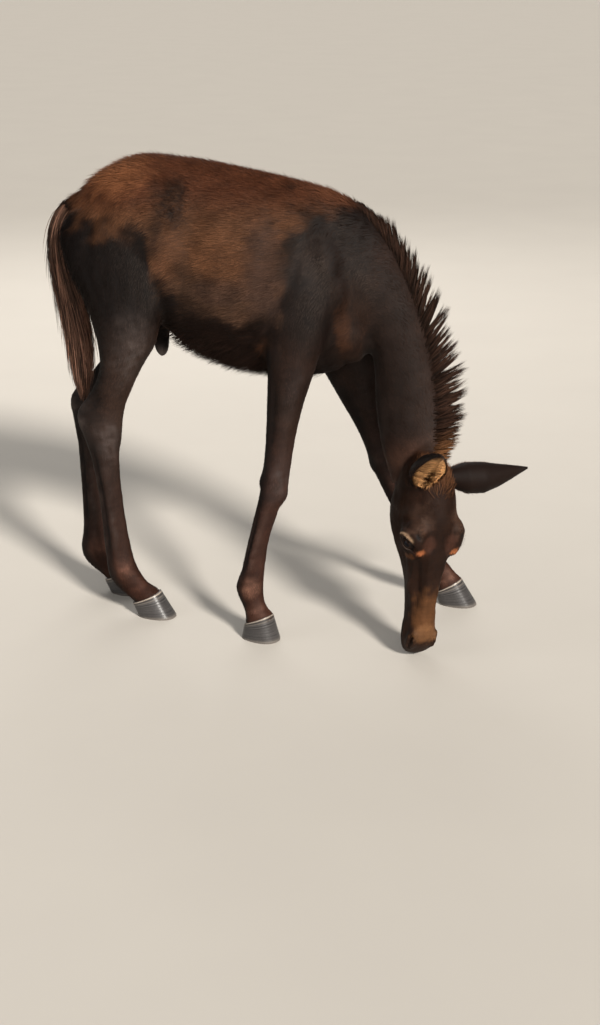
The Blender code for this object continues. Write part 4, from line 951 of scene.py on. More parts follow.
def lid_mesh(name):
    """A ring of lid round the opening: at angle v the almond's edge times
    1 + 0.75 w (0.7 + 0.5 upper), w from 0 at the margin to 1 in the skin, at the profile's height
    over the ball, more on the upper lid. With it come each point's w and v."""
    centre, radius, axes = eye_place(name)
    v = np.linspace(0, 2 * np.pi, 96, endpoint=False)[None]
    w, height = np.array(LID_PROFILE)[:, :, None].transpose(1, 0, 2)
    upper = np.maximum(np.sin(v), 0.0)
    long, wide = lid_slopes(np.sin(v) > 0)
    corner = 1.0 + 0.06 * np.abs(np.cos(v)) ** 8
    spread = corner * (1.0 + 0.75 * w * (0.7 + 0.5 * upper))
    rise = height * (0.45 + 0.80 * upper)
    aim = np.stack([long * np.cos(v) * spread, wide * np.sin(v) * spread,
                    np.ones_like(spread)], -1)
    rings = centre + (unit(aim) * (radius + rise)[..., None]) @ axes
    count, k = rings.shape[:2]
    quads = grid_quads(count + 1, k) % (count * k)
    points = rings.reshape(-1, 3)
    if volume(points, quads, np.zeros((0, 3), int)) < 0:
        quads = quads[:, ::-1]
    mesh = mesh_of("lid" + name[3:], points, quads)
    return mesh, np.repeat(w, k), np.tile(v[0], count)


HAIR_SEED = 23
# Fewer tufts while trying things.
TUFT_SHARE = 1.0
PIECE_TUFTS = 46000
# How far the shading of a hair's sides leans aside.
HAIR_LEAN = 0.75


def strands(paths, outs, widths, ridge=0.45):
    """Closed three-sided hairs along paths (n, k, 3). At each station but the last stands a
    ring P - s w/2, P + s w/2, P + u w ridge, with s = tangent x out and u = s x tangent; the
    last station is the tip. Returns points, triangles, and shading normals that lean aside."""
    n, k = paths.shape[:2]
    tangents = unit(np.gradient(paths, axis=1))
    sides = unit(np.cross(tangents, np.broadcast_to(outs[:, None], paths.shape)))
    ups = np.cross(sides, tangents)
    half = widths[:, :, None] / 2
    ring = np.stack([paths - sides * half, paths + sides * half, paths + ups * half * 2 * ridge],
                    2)[:, :-1]
    lean = np.stack([unit(ups - sides * HAIR_LEAN), unit(ups + sides * HAIR_LEAN), ups],
                    2)[:, :-1]
    points = np.concatenate([ring.reshape(n, -1, 3), paths[:, -1:]], 1)
    normals = np.concatenate([lean.reshape(n, -1, 3), ups[:, -1:]], 1)
    one = [(0, 1, 2)]
    for a in range(0, 3 * (k - 2), 3):
        b = a + 3
        one += [(a, a + 2, b + 2), (a, b + 2, b), (a + 2, a + 1, b + 1), (a + 2, b + 1, b + 2),
                (a + 1, a, b), (a + 1, b, b + 1)]
    a, tip = 3 * (k - 2), 3 * (k - 1)
    one += [(a, a + 2, tip), (a + 2, a + 1, tip), (a + 1, a, tip)]
    starts = (np.arange(n) * points.shape[1])[:, None, None]
    tris = (np.array(one)[None] + starts).reshape(-1, 3)
    return points.reshape(-1, 3), tris, normals.reshape(-1, 3)


def hair_piece(name, paths, outs, widths, colours, chart, material, nodes=(), ridge=0.45,
               tip=1.35, root=0.75):
    """Strands as one piece. Their colour goes from root to tip times the hair's own, and each
    hair is a patch at its root's place on the chart of the skin."""
    k = paths.shape[1]
    points, tris, normals = strands(paths, outs, widths, ridge)
    mesh = mesh_of(name, points, tris)
    share = np.concatenate([np.repeat(np.arange(k - 1), 3), [k - 1]]) / (k - 1)
    shade = root + (tip - root) * share
    paint(mesh, "coat", (colours[:, None] * shade[None, :, None]).reshape(-1, 3))
    aside = np.concatenate([np.tile([-0.5, 0.5, 0.0], k - 1), [0.0]])
    patch = np.stack([aside, share - 0.5], 1) * PATCH
    uv = (chart[:, None] + patch[None]).reshape(-1, 2)
    layer = mesh.uv_layers.new(name="OFBake")
    layer.uv.foreach_set("vector", uv[tris.ravel()].astype(np.float32).ravel())
    smooth(mesh)
    mesh.normals_split_custom_set_from_vertices(normals.astype(np.float32))
    return piece(name, mesh, material, nodes)


class Skin:
    """The finished skin as arrays, with what was surveyed on it."""

    def __init__(self, mesh, state):
        self.points, self.normals, _, self.tris = read(mesh)
        self.state = state
        a, b, c = (self.points[self.tris[:, i]] for i in range(3))
        self.area = np.linalg.norm(np.cross(b - a, c - a), axis=1) / 2

    def scatter(self, density, rng):
        """Even random places: along the running sum of area times density there is one place
        in each equal step, and in its triangle a corner share (1 - sqrt r, sqrt r (1 - q), ..)."""
        weight = self.area * density[self.tris].mean(1)
        total = np.cumsum(weight)
        count = int(total[-1])
        at = (np.arange(count) + rng.random(count)) / count * total[-1]
        face = np.minimum(np.searchsorted(total, at), len(total) - 1)
        r, q = np.sqrt(rng.random(count)), rng.random(count)
        return face, np.stack([1 - r, r * (1 - q), r * q], 1)

    def at(self, values, face, corner):
        """Values at the corners mixed at places of the surface."""
        picked = values[self.tris[face]]
        if picked.ndim == 2:
            return (picked * corner).sum(1)
        return (picked * corner[:, :, None]).sum(1)


def bare(points):
    """1 where the coat grows, 0 in the eyes' openings, the nostrils and the mouth."""
    grown = np.ones(len(points))
    for name in EYES:
        centre, radius, axes = eye_place(name)
        aim = (points - centre) @ axes.T
        near = np.linalg.norm(aim, axis=1) < BARE_RADII * radius
        grown[near & (in_opening(aim) < BARE_LID + BARE_FOLD * (aim[:, 1] > 0))] = 0.0
    local = to_head(points)
    grown[np.minimum(*near_nostrils(local)) < BARE_NOSTRIL] = 0.0
    grown[(near_mouth(local) < BARE_LIP) & (local[:, 0] > LIPS_FROM)] = 0.0
    return grown


def drift(points, amount, size, seed):
    """Smooth noise times an amount."""
    return amount * waves(points, size, seed)


# Smooth noise in the coat: amount, size and seed; in the whorl it turns the hairs much more.
SWAY_SLOW = (0.08, 0.045, 1)
SWAY_FAST = (0.06, 0.015, 2)
SWAY_WHORL = (1.5, 0.012, 5)
LENGTH_DRIFT = (0.18, 0.03, 3)
LIFT_DRIFT = (0.18, 0.022, 4)
WHORL_LIFT = 1.1
# Spread of the hairs' turn and tone, and how deep their roots are sunk.
SWAY_SPREAD = 0.12
TONE_SPREAD = 0.16
ROOT_DEPTH = 0.0005
# From this row down a limb is horn.
HORN_ROW = 15.05


def build_coat(skin, colours, material, sleek):
    """Flat tapered tufts all over the skin, laid along the coat, in pieces by body part."""
    rng = np.random.default_rng(HAIR_SEED)
    state = skin.state
    length, lift, width, count, _ = state["coat"].T
    grown = bare(skin.points)
    for name in LIMBS:
        horn = (state["share"][name] > 0.5) & (state["row"][name] > HORN_ROW)
        grown *= np.where(horn, 0.0, 1.0)
    face, corner = skin.scatter(count * 1e4 * grown * TUFT_SHARE, rng)
    root = skin.at(skin.points, face, corner)
    out = unit(skin.at(skin.normals, face, corner))
    lie = skin.at(state["lie"], face, corner)
    aside = np.cross(out, unit(lie))
    ruffled = in_whorl(root)
    amount, size, seed = SWAY_WHORL
    sway = drift(root, *SWAY_SLOW) + drift(root, *SWAY_FAST) \
        + rng.normal(0, SWAY_SPREAD, len(root)) + ruffled * amount * waves(root, size, seed)
    lie = unit(lie + aside * sway[:, None])
    long = skin.at(length, face, corner) * rng.uniform(0.7, 1.25, len(root)) \
        * (1 + drift(root, *LENGTH_DRIFT))
    raised = np.radians(skin.at(lift, face, corner)) * rng.uniform(0.5, 1.5, len(root)) \
        * (1 + drift(root, *LIFT_DRIFT)) * (1 + WHORL_LIFT * ruffled)
    aim = lie * np.cos(raised)[:, None] + out * np.sin(raised)[:, None]
    broad = skin.at(width, face, corner) * rng.uniform(0.75, 1.25, len(root)) \
        / (0.55 + 0.45 * TUFT_SHARE)
    sunk = root - out * ROOT_DEPTH
    paths = np.stack([sunk, sunk + aim * long[:, None]], 1)
    widths = np.stack([broad, 0 * broad], 1)
    shade = rng.normal(1.0, TONE_SPREAD, len(root)).clip(0.5, 1.6)
    tone = skin.at(colours, face, corner) * shade[:, None]
    chart = state["chart"][skin.tris[face, 0]]
    names = list(state["share"])
    owner = np.stack([state["share"][name][skin.tris[face, 0]] for name in names]).argmax(0)
    for i, part in enumerate(names):
        mine = np.nonzero(owner == i)[0]
        mine = mine[np.argsort(root[mine, 0] if part in ("trunk", "neck") else root[mine, 2])]
        parts = max(1, int(np.ceil(len(mine) / PIECE_TUFTS)))
        for j, some in enumerate(np.array_split(mine, parts)):
            if len(some):
                hair_piece("coat_" + part + (f"_{j + 1}" if parts > 1 else ""), paths[some],
                           out[some], widths[some], tone[some], chart[some],
                           material if part == "trunk" else sleek, ridge=0.30)


# The mane along the crest: row of the neck, length, lean back toward the withers.
MANE = (
    (1.60, 0.008, 0.45), (2.05, 0.016, 0.42), (2.60, 0.032, 0.40), (3.10, 0.050, 0.40),
    (4.00, 0.062, 0.36), (5.00, 0.066, 0.32), (6.00, 0.064, 0.24), (7.00, 0.058, 0.14),
    (7.80, 0.050, 0.06), (8.35, 0.042, 0.00), (9.20, 0.026, -0.10),
)
MANE_CLUMPS = 165
MANE_HAIRS = 40
# The greatest distance of a root from the crest's middle, and how deep it is sunk.
MANE_SPREAD = 0.017
MANE_DEPTH = 0.005
MANE_DARK = (0.008, 0.005, 0.004)
MANE_BROWN = (0.042, 0.020, 0.013)
MANE_POLL = (0.110, 0.048, 0.020)
TAIL_HAIRS = 4200
# Rows of the tail on which hairs start, and on which the last of them end.
TAIL_STARTS = 5.2
TAIL_END = 8.0
# How deep in the outline a hair starts: row, share.
TAIL_DEPTHS = ((0, 1, 2, 3, 5, 8), (0.80, 0.60, 0.42, 0.34, 0.20, 0.10))
TAIL_DARK = (0.014, 0.009, 0.007)
TAIL_RED = (0.240, 0.120, 0.080)
# Samples of neck and tail in one row.
HAIR_STEPS = 8


def build_mane(material):
    """Upright clumps along the crest. A hair starts near its clump's middle and bends toward
    the clump's tip: root + aim L s + bend L s^2."""
    rng = np.random.default_rng(HAIR_SEED + 1)
    table = np.array(MANE)
    neck = sections(through(NECK, HAIR_STEPS))
    share = TUFT_SHARE ** 0.5
    clump_row = np.linspace(table[0, 0], table[-1, 0], MANE_CLUMPS) \
        + rng.normal(0, 0.012, MANE_CLUMPS)
    which = np.repeat(np.arange(MANE_CLUMPS), int(MANE_HAIRS * share))
    row = clump_row[which] + rng.normal(0, 0.020, len(which))
    middle, reach, side = (at_row(v, row * HAIR_STEPS) for v in neck)
    out, aside = unit(reach), unit(side)
    down = -unit(np.cross(aside, out))
    ahead = at_row(neck[0], row * HAIR_STEPS + 1) - middle
    down *= np.sign((down * ahead).sum(1, keepdims=True))
    length, lean = (np.interp(row, table[:, 0], table[:, i]) for i in (1, 2))
    lean, sideways = (
        start + (rng.normal(0, of_clump, MANE_CLUMPS)[which] + rng.normal(0, own, len(which)))
        for start, of_clump, own in ((lean, 0.09, 0.030), (0.0, 0.08, 0.04)))
    clump_long = rng.uniform(0.80, 1.16, MANE_CLUMPS)[which]
    long = length * clump_long * (1.06 - 0.62 * rng.random(len(which)) ** 1.6)
    spread = rng.normal(0, 0.0075, len(which)).clip(-MANE_SPREAD, MANE_SPREAD)
    fall = (1 - (spread / np.linalg.norm(side, axis=1)) ** 2) ** 0.5
    root = middle + reach * (0.985 * fall)[:, None] + aside * spread[:, None] - out * MANE_DEPTH
    pull = (clump_row[which] - row) * 1.25
    aim = unit(out - down * lean[:, None] + aside * sideways[:, None])
    bend = down * (pull * 1.4 - 0.05)[:, None] - aside * (spread * 15)[:, None]
    s = np.linspace(0, 1, 4)[None, :, None]
    span = (long + MANE_DEPTH)[:, None, None]
    paths = root[:, None] + aim[:, None] * span * s + bend[:, None] * span * s * s
    broad = rng.uniform(0.0008, 0.0014, len(row)) / share ** 0.5
    widths = broad[:, None] * np.array((1.1, 0.9, 0.55, 0.0))
    brown = rng.random(len(row))[:, None] ** 1.5
    tone = np.array(MANE_DARK) * (1 - brown) + np.array(MANE_BROWN) * brown
    poll = ramp(7.6, 8.8, row)[:, None]
    tone = tone * (1 - poll) + np.array(MANE_POLL) * poll * (0.5 + brown)
    chart = np.stack([0.26 + 0.14 * (0.5 + spread * 4), 0.02 + 0.96 * row / 10], 1)
    facing = unit(aside * np.sign(spread + 1e-9)[:, None] - down * 0.4)
    hair_piece("mane", paths, facing, widths, tone, chart, material, tip=1.8,
               root=0.35)


def build_tail(material):
    """Long hairs from the dock into the tail's outline. A hair keeps its angle and a depth that
    grows from the dock's surface to its own share of the outline, with a slow wave."""
    rng = np.random.default_rng(HAIR_SEED + 2)
    count = int(TAIL_HAIRS * TUFT_SHARE ** 0.5)
    angle = rng.uniform(0, 2 * np.pi, count)
    start = rng.uniform(0.0, 1.0, count) ** 0.8 * TAIL_STARTS
    run = rng.uniform(1.6, 3.6, count) * (1.0 + 0.25 * (start > 3.5))
    stop = np.minimum(start + run, TAIL_END - 2.2 * rng.random(count) ** 1.3)
    depth_start = np.interp(start, *TAIL_DEPTHS)
    depth_end = rng.uniform(0.35, 1.0, count) ** 0.6
    depth_end = depth_end + rng.uniform(0.1, 0.4, count) * (rng.random(count) < 0.14)
    clump = np.round(angle * 4) / 4
    s = np.linspace(0, 1, 6)[None]
    row = start[:, None] + (stop - start)[:, None] * s
    depth = depth_start[:, None] + (depth_end - depth_start)[:, None] * s ** 0.7
    turn = angle[:, None] + (clump - angle)[:, None] * s * 0.5 \
        + rng.normal(0, 0.12, (count, 1)) * np.sin(s * np.pi)
    centre, ahead, aside = (at_row(v, row * HAIR_STEPS)
                            for v in sections(through(TAIL, HAIR_STEPS)))
    around = ahead * np.cos(turn)[..., None] + aside * np.sin(turn)[..., None]
    paths = centre + around * depth[..., None]
    broad = rng.uniform(0.0011, 0.0021, count) / TUFT_SHARE ** 0.25
    widths = broad[:, None] * np.array((0.9, 1.0, 1.0, 0.9, 0.6, 0.0))
    red = rng.random(count)[:, None] ** 1.6
    low = (start / 6)[:, None]
    streak = (0.75 + 0.5 * waves(np.stack([angle, 0 * angle, 0.3 * start], 1), 0.7, 8))[:, None]
    tone = np.array(TAIL_DARK) * (1 - red) \
        + np.array(TAIL_RED) * red * (0.6 + 0.6 * low) * streak.clip(0.2, 1.6)
    chart = np.stack([0.92 + 0.04 * angle / (2 * np.pi), 0.02 + 0.96 * start / 6], 1)
    hair_piece("tail_hair", paths, unit(around[:, 2]), widths, tone, chart, material,
               ("tail",), tip=1.5, root=0.8)


def long_tufts(name, skin, colours, material, density, direction, length, width, seed,
               tip=1.3, root=0.7, spread=0.16, stations=3, facing=None):
    """Longer loose tufts where density says: they leave the skin along the given direction
    and bend back into the lie: root + aim L s + 0.35 lie L s^2. Their broad side faces out of
    the skin, or most of the way to the direction facing."""
    rng = np.random.default_rng(HAIR_SEED + seed)
    face, corner = skin.scatter(density * TUFT_SHARE ** 0.5, rng)
    start = skin.at(skin.points, face, corner)
    out = unit(skin.at(skin.normals, face, corner))
    lie = unit(skin.at(skin.state["lie"], face, corner))
    aim = unit(skin.at(direction, face, corner) + rng.normal(0, spread, start.shape))
    long = skin.at(length, face, corner) * rng.uniform(0.55, 1.15, len(start))
    s = np.linspace(0, 1, stations)[None, :, None]
    span = long[:, None, None]
    paths = start[:, None] - out[:, None] * 0.001 + aim[:, None] * span * s \
        + lie[:, None] * span * s * s * 0.35
    widths = (width * rng.uniform(0.7, 1.3, len(start)))[:, None] \
        * np.array((1.0, 0.8, 0.0) if stations == 3 else (1.0, 0.0))
    shade = rng.normal(1.0, 0.2, len(start)).clip(0.5, 1.7)
    broad_side = out if facing is None else unit(out * 0.4 + facing)
    hair_piece(name, paths, broad_side, widths,
               skin.at(colours, face, corner) * shade[:, None],
               skin.state["chart"][skin.tris[face, 0]], material, tip=tip, root=root)


# The poll's fuzz is redder than the skin under it.
POLL_FUZZ = (0.075, 0.032, 0.015)
BELLY_HANG = (-0.75, 0.0, -0.65)


def build_loose(skin, colours, material):
    """The fuzz that breaks the line of the back, the croup, the poll and the throat, and the
    fringe under the belly."""
    x, _, z = skin.points.T
    nx, _, nz = skin.normals.T
    lie, share = skin.state["lie"], skin.state["share"]
    body = share["trunk"] + share["neck"] + share["hind_right"] + share["hind_left"]
    top = ramp(0.35, 0.85, nz) * ramp(0.84, 0.90, z) * body
    rump = ramp(0.2, 0.7, -nx) * ramp(0.62, 0.75, z) * body
    direction = unit(lie + skin.normals * 0.55)
    long_tufts("back_fuzz", skin, colours, material, np.maximum(top, 0.7 * rump) * 5.5e4,
               direction, 0.0150 + 0.0060 * rump, 0.0012, 3, tip=1.25)
    low = ramp(0.35, 0.80, -nz) * ramp(-0.13, -0.07, x) * ramp(0.21, 0.15, x) \
        * ramp(0.66, 0.62, z) * share["trunk"]
    long_tufts("belly_fringe", skin, colours * 1.3, material, low * 8e4,
               unit(np.array(BELLY_HANG) + 0 * skin.points), 0.026 + 0 * x, 0.0013, 4)
    down, face, side = to_head(skin.points).T
    poll = ramp(0.075, 0.030, down + 0.3 * np.abs(side)) * ramp(-0.015, 0.020, face) \
        * ramp(0.4, 0.8, share["head"] + share["neck"]) * ramp(-0.05, -0.02, down)
    long_tufts("poll_fuzz", skin, np.array(POLL_FUZZ) + 0 * colours, material, poll * 22e4,
               unit(lie + skin.normals * 0.8), 0.014 + 0 * x, 0.0009, 6, tip=1.5, root=0.6,
               spread=0.25)
    throat = ramp(0.45, 0.9, share["neck"]) * ramp(0.2, 0.7, -nz + nx * 0.4) * ramp(0.62, 0.5, z)
    long_tufts("throat_fuzz", skin, colours, material, throat * 4e4, direction,
               0.013 + 0 * x, 0.0010, 5)


# The coat's colours, in linear light.
GINGER = (0.125, 0.048, 0.021)
CROUP = (0.086, 0.034, 0.016)
BACK = (0.048, 0.0165, 0.0078)
BARREL = (0.062, 0.0265, 0.0125)
BARREL_LOW = (0.048, 0.0250, 0.0150)
WHORL = (0.0085, 0.0042, 0.0028)
STREAK = (0.070, 0.031, 0.016)
# The thighs' black-brown coat, darkened further with painted shade.
THIGH_SHADED = (0.0040, 0.0026, 0.0023)
BELLY = (0.0060, 0.0030, 0.0022)
SHOULDER = (0.0075, 0.0046, 0.0038)
CHEST = (0.0150, 0.0080, 0.0058)
NECK_SIDE = (0.0200, 0.0112, 0.0084)
NECK_LOW = (0.0125, 0.0074, 0.0058)
RUST = (0.095, 0.036, 0.016)
FOREHEAD = (0.0135, 0.0056, 0.0032)
CHEEK = (0.0190, 0.0078, 0.0042)
NOSE_TAN = (0.080, 0.033, 0.0125)
MUZZLE = (0.026, 0.0135, 0.0090)
DOCK_BARE = (0.020, 0.013, 0.011)
SHEATH_SKIN = (0.016, 0.011, 0.010)
SHEATH_TIP = (0.075, 0.060, 0.054)
POLL_BROWN = (0.060, 0.028, 0.018)
# A painted highlight on the skin fold over each eye.
EYE_FOLD_HIGHLIGHT = (0.620, 0.400, 0.250)
EAR_TAN = (0.560, 0.290, 0.120)
EAR_DARK = (0.0095, 0.0042, 0.0026)
EAR_DEEP = (0.045, 0.024, 0.016)
EAR_TIP = (0.012, 0.008, 0.007)
EAR_FRINGE = (0.075, 0.026, 0.013)
EYE_EDGE = (0.006, 0.004, 0.004)
IRIS = (0.013, 0.006, 0.0035)
IRIS_RIM = (0.008, 0.004, 0.003)
PUPIL = (0.002, 0.002, 0.003)
LID_DARK = (0.012, 0.009, 0.008)
# Painted highlights on the lids: the tan fold of the upper lid and the wet pale margin of the
# lower.
LID_FOLD_HIGHLIGHT = (0.420, 0.260, 0.150)
LID_MARGIN_HIGHLIGHT = (0.170, 0.120, 0.090)
LID_RUST = (0.110, 0.042, 0.014)
LID_CORNER = (0.260, 0.080, 0.022)
LASH = (0.010, 0.007, 0.006)
HORN = (0.034, 0.0315, 0.031)
# Bands round the coronet: place in shares of the hoof's height, reach, colour and strength.
CORONET_BANDS = (
    (0.965, 0.022, (0.300, 0.250, 0.205), 0.8), (0.84, 0.018, (0.190, 0.165, 0.145), 0.7),
    (0.90, 0.022, (0.016, 0.014, 0.013), 0.8),
)
HORN_WORN = (0.120, 0.105, 0.092)
# The line between the brown above and the black-brown below: x, z.
BROWN_LINE = (
    (-0.36, 0.900), (-0.294, 0.880), (-0.24, 0.848), (-0.18, 0.858), (-0.135, 0.868),
    (-0.115, 0.760), (-0.075, 0.745), (-0.06, 0.800), (-0.005, 0.715), (0.05, 0.690),
    (0.114, 0.700), (0.135, 0.745), (0.15, 0.866), (0.176, 0.892), (0.268, 0.922), (0.30, 0.980),
)
# Painted shade on the backs of the limbs.
LEG_BACK_SHADE = (0.0062, 0.0034, 0.0026)
# Down each kind of limb: row, colour in front, and colour behind, darker with painted shade.
LIMB_TONES = {
    "hind": ((0, THIGH_SHADED, THIGH_SHADED), (4.0, THIGH_SHADED, LEG_BACK_SHADE), (5.4, (0.024, 0.0130, 0.0092), LEG_BACK_SHADE),
             (6.8, (0.026, 0.0140, 0.0100), LEG_BACK_SHADE), (8.4, (0.022, 0.0125, 0.0090), LEG_BACK_SHADE),
             (10.5, (0.020, 0.0095, 0.0065), LEG_BACK_SHADE), (13.0, (0.022, 0.0082, 0.0048), LEG_BACK_SHADE),
             (14.8, (0.024, 0.0090, 0.0052), (0.0110, 0.0050, 0.0034))),
    "fore": ((0, SHOULDER, SHOULDER), (4.0, (0.0150, 0.0076, 0.0054), LEG_BACK_SHADE),
             (6.0, (0.0165, 0.0086, 0.0060), LEG_BACK_SHADE), (8.2, (0.030, 0.0140, 0.0100), LEG_BACK_SHADE),
             (9.4, (0.024, 0.0110, 0.0080), LEG_BACK_SHADE), (11.0, (0.028, 0.0115, 0.0075), LEG_BACK_SHADE),
             (13.0, (0.030, 0.0110, 0.0066), LEG_BACK_SHADE),
             (14.8, (0.034, 0.0130, 0.0080), (0.0110, 0.0050, 0.0034))),
}
# Painted shade in the grooves of tendons, muscles and joints, and a painted sheen on tendons.
TENDON_GROOVE_SHADE = (0.0036, 0.0022, 0.0019)
MUSCLE_GROOVE_SHADE = (0.0040, 0.0026, 0.0022)
JOINT_GROOVE_SHADE = (0.0048, 0.0029, 0.0024)
TENDON_SHEEN = (0.034, 0.022, 0.018)
# Limb places laid out like LIMB_FORMS, with a colour and its strength in place of a rise:
# greyer places are painted sheen on bones, tendons and muscles, dark grooves are painted
# shade, and the redder places at knees, fetlocks and pasterns are rust of the coat, with a
# painted highlight on the fetlocks.
LIMB_PATCHES = {
    "hind": (
        (5.2, 1.1, 66, 38, (0.050, 0.038, 0.034), 0.8),
        (6.6, 0.8, 140, 24, (0.0036, 0.0024, 0.0021), 0.95),
        (7.6, 0.7, 112, 22, MUSCLE_GROOVE_SHADE, 0.95),
        (8.3, 0.6, 160, 30, (0.060, 0.045, 0.040), 0.85),
        (9.0, 0.9, 62, 36, (0.070, 0.053, 0.048), 0.9), (9.5, 0.25, 96, 24, JOINT_GROOVE_SHADE, 0.85),
        (11.2, 1.8, 120, 14, TENDON_GROOVE_SHADE, 1.0), (11.4, 1.6, 84, 14, (0.042, 0.030, 0.026), 0.6),
        (11.4, 1.7, 150, 14, TENDON_SHEEN, 0.8), (12.9, 0.45, 70, 40, (0.100, 0.044, 0.029), 0.8),
        (14.1, 0.35, 175, 40, TENDON_GROOVE_SHADE, 0.95),
        (14.2, 0.40, 50, 40, (0.056, 0.022, 0.014), 0.8),
    ),
    "fore": (
        (5.6, 1.2, 70, 26, (0.026, 0.018, 0.016), 0.6), (6.4, 1.2, 116, 14, MUSCLE_GROOVE_SHADE, 0.95),
        (8.2, 0.7, 60, 44, (0.044, 0.032, 0.029), 0.8),
        (9.3, 0.30, 20, 50, (0.055, 0.024, 0.016), 0.95),
        (9.2, 0.35, 130, 30, JOINT_GROOVE_SHADE, 0.85), (11.2, 1.6, 118, 14, TENDON_GROOVE_SHADE, 1.0),
        (11.2, 1.5, 84, 14, (0.070, 0.040, 0.031), 0.7), (11.2, 1.6, 150, 14, TENDON_SHEEN, 0.8),
        (12.9, 0.45, 70, 44, (0.150, 0.072, 0.048), 0.95),
        (13.7, 0.25, 150, 50, MUSCLE_GROOVE_SHADE, 0.95),
        (14.2, 0.40, 50, 44, (0.110, 0.054, 0.038), 0.8),
    ),
}
# Coloured places: centre, half sizes, colour and strength, in the drawn frame on both sides.
BODY_PATCHES = (
    ((-0.215, 0.00, 0.945), (0.085, 0.16, 0.045), GINGER, 0.85),
    ((-0.300, 0.00, 0.900), (0.040, 0.10, 0.040), CROUP, 0.5),
    ((-0.088, 0.10, 0.905), (0.028, 0.06, 0.050), WHORL, 0.95),
    ((-0.112, 0.12, 0.830), (0.014, 0.05, 0.060), WHORL, 0.75),
    ((-0.098, 0.12, 0.800), (0.024, 0.05, 0.050), STREAK, 0.7),
    ((-0.124, 0.10, 0.616), (0.020, 0.06, 0.035), RUST, 0.45),
    ((0.255, 0.06, 0.660), (0.014, 0.06, 0.060), RUST, 0.22),
    ((0.110, 0.10, 0.620), (0.020, 0.06, 0.030), RUST, 0.22),
    ((0.105, 0.13, 0.790), (0.045, 0.08, 0.110), (0.022, 0.0125, 0.0100), 0.65),
    ((0.020, 0.13, 0.800), (0.060, 0.08, 0.045), BARREL, 0.8),
    # The greyish place on the shoulder is a painted sheen.
    ((0.200, 0.10, 0.800), (0.030, 0.06, 0.050), (0.022, 0.0155, 0.0130), 0.5),
    ((0.225, 0.00, 0.930), (0.085, 0.05, 0.036), (0.070, 0.026, 0.013), 0.9),
    ((0.015, 0.13, 0.735), (0.060, 0.08, 0.030), (0.030, 0.0165, 0.012), 0.6),
)
HEAD_PATCHES = (
    ((0.020, 0.030, 0.000), (0.030, 0.040, 0.034), (0.050, 0.022, 0.011), 0.7),
    ((0.320, 0.045, 0.003), (0.058, 0.036, 0.040), NOSE_TAN, 1.0),
    ((0.358, 0.042, 0.000), (0.024, 0.022, 0.034), (0.135, 0.062, 0.026), 0.85),
    ((0.192, 0.030, 0.052), (0.010, 0.020, 0.012), (0.100, 0.036, 0.012), 0.85),
    ((0.158, 0.062, 0.024), (0.022, 0.018, 0.014), (0.060, 0.024, 0.015), 0.55),
    ((0.177, 0.053, 0.038), (0.008, 0.010, 0.009), (0.300, 0.100, 0.040), 0.95),
    ((0.112, 0.046, 0.040), (0.036, 0.032, 0.024), (0.046, 0.024, 0.016), 0.7),
    # A near-black spot of painted shade in the hollow above each eye.
    ((0.141, 0.062, 0.048), (0.008, 0.008, 0.007), (0.004, 0.003, 0.003), 0.9),
    ((0.134, 0.035, 0.058), (0.005, 0.022, 0.012), (0.070, 0.036, 0.024), 0.6),
    # A greyer band of painted highlight along each facial crest.
    ((0.250, 0.004, 0.036), (0.040, 0.010, 0.010), (0.030, 0.018, 0.015), 0.6),
)


# Borders of markings run out in streaks along the coat, which lies along the first axis.
STREAKED = (0.28, 1.0, 1.0)


def patched(points, aside, table, colour):
    """Colours with patches over them: strength * bell of the scaled distance; the coordinate
    aside counts the same on both sides."""
    folded = points.copy()
    folded[:, aside] = np.abs(folded[:, aside])
    uneven = 1.0 + 0.12 * waves(points, 0.03, 41) + 0.10 * waves(points * STREAKED, 0.007, 42)
    for centre, sizes, tone, strength in table:
        far = np.linalg.norm((folded - centre) / sizes, axis=1) * uneven
        cover = strength * (1.0 - ramp(0.55, 1.25, far))
        colour = mix(colour, tone, cover)
    return colour


def limb_colours(name, points, state):
    """The colours of one limb down its rows and round it: darker behind with painted shade, with
    painted sheen, rust with painted highlights, and grooves darkened with painted shade.
    """
    table = LIMB_TONES[kind(name)]
    rows = [entry[0] for entry in table]
    row, angle = state["row"][name], state["angle"][name]
    front, back = (np.stack([np.interp(row, rows, column) for column in np.transpose(
        [entry[which] for entry in table])], 1) for which in (1, 2))
    limb = mix(front, back, ramp(-0.1, -0.9, np.cos(angle)))
    degrees = np.abs(np.degrees(angle)) + 5.0 * waves(points, 0.035, 35)
    patchy = 0.75 + 0.35 * waves(points, 0.018, 36)
    for at, reach, turned, round_reach, tone, strength in LIMB_PATCHES[kind(name)]:
        cover = bell((row - at) / reach) * bell((degrees - turned) / round_reach)
        limb = mix(limb, tone, (cover * strength * patchy).clip(0.0, 1.0))
    return limb


def head_colours(points):
    """The head's colours, with painted highlights on the folds over the eyes, and the bare
    muzzle.
    """
    local = to_head(points)
    down, face, side = local.T
    head = mix(CHEEK, FOREHEAD, ramp(0.0, 0.045, face) * ramp(0.30, 0.20, down))
    head = patched(local, 2, HEAD_PATCHES, head)
    for name in EYES:
        centre, _, axes = eye_place(name)
        aim = (points - centre) @ axes.T
        # Painted highlight on the fold over the eye.
        fold = bell((in_opening(aim) - 1.42) / 0.26) * ramp(0.0, 0.004, aim[:, 1]) \
            * ramp(0.014, 0.002, aim[:, 0])
        head = mix(head, EYE_FOLD_HIGHLIGHT, fold * 0.9)
    lips = ramp(0.372, 0.402, down + 0.35 * np.abs(side) - 0.30 * (face - 0.02))
    return mix(head, MUZZLE, lips * 0.92)


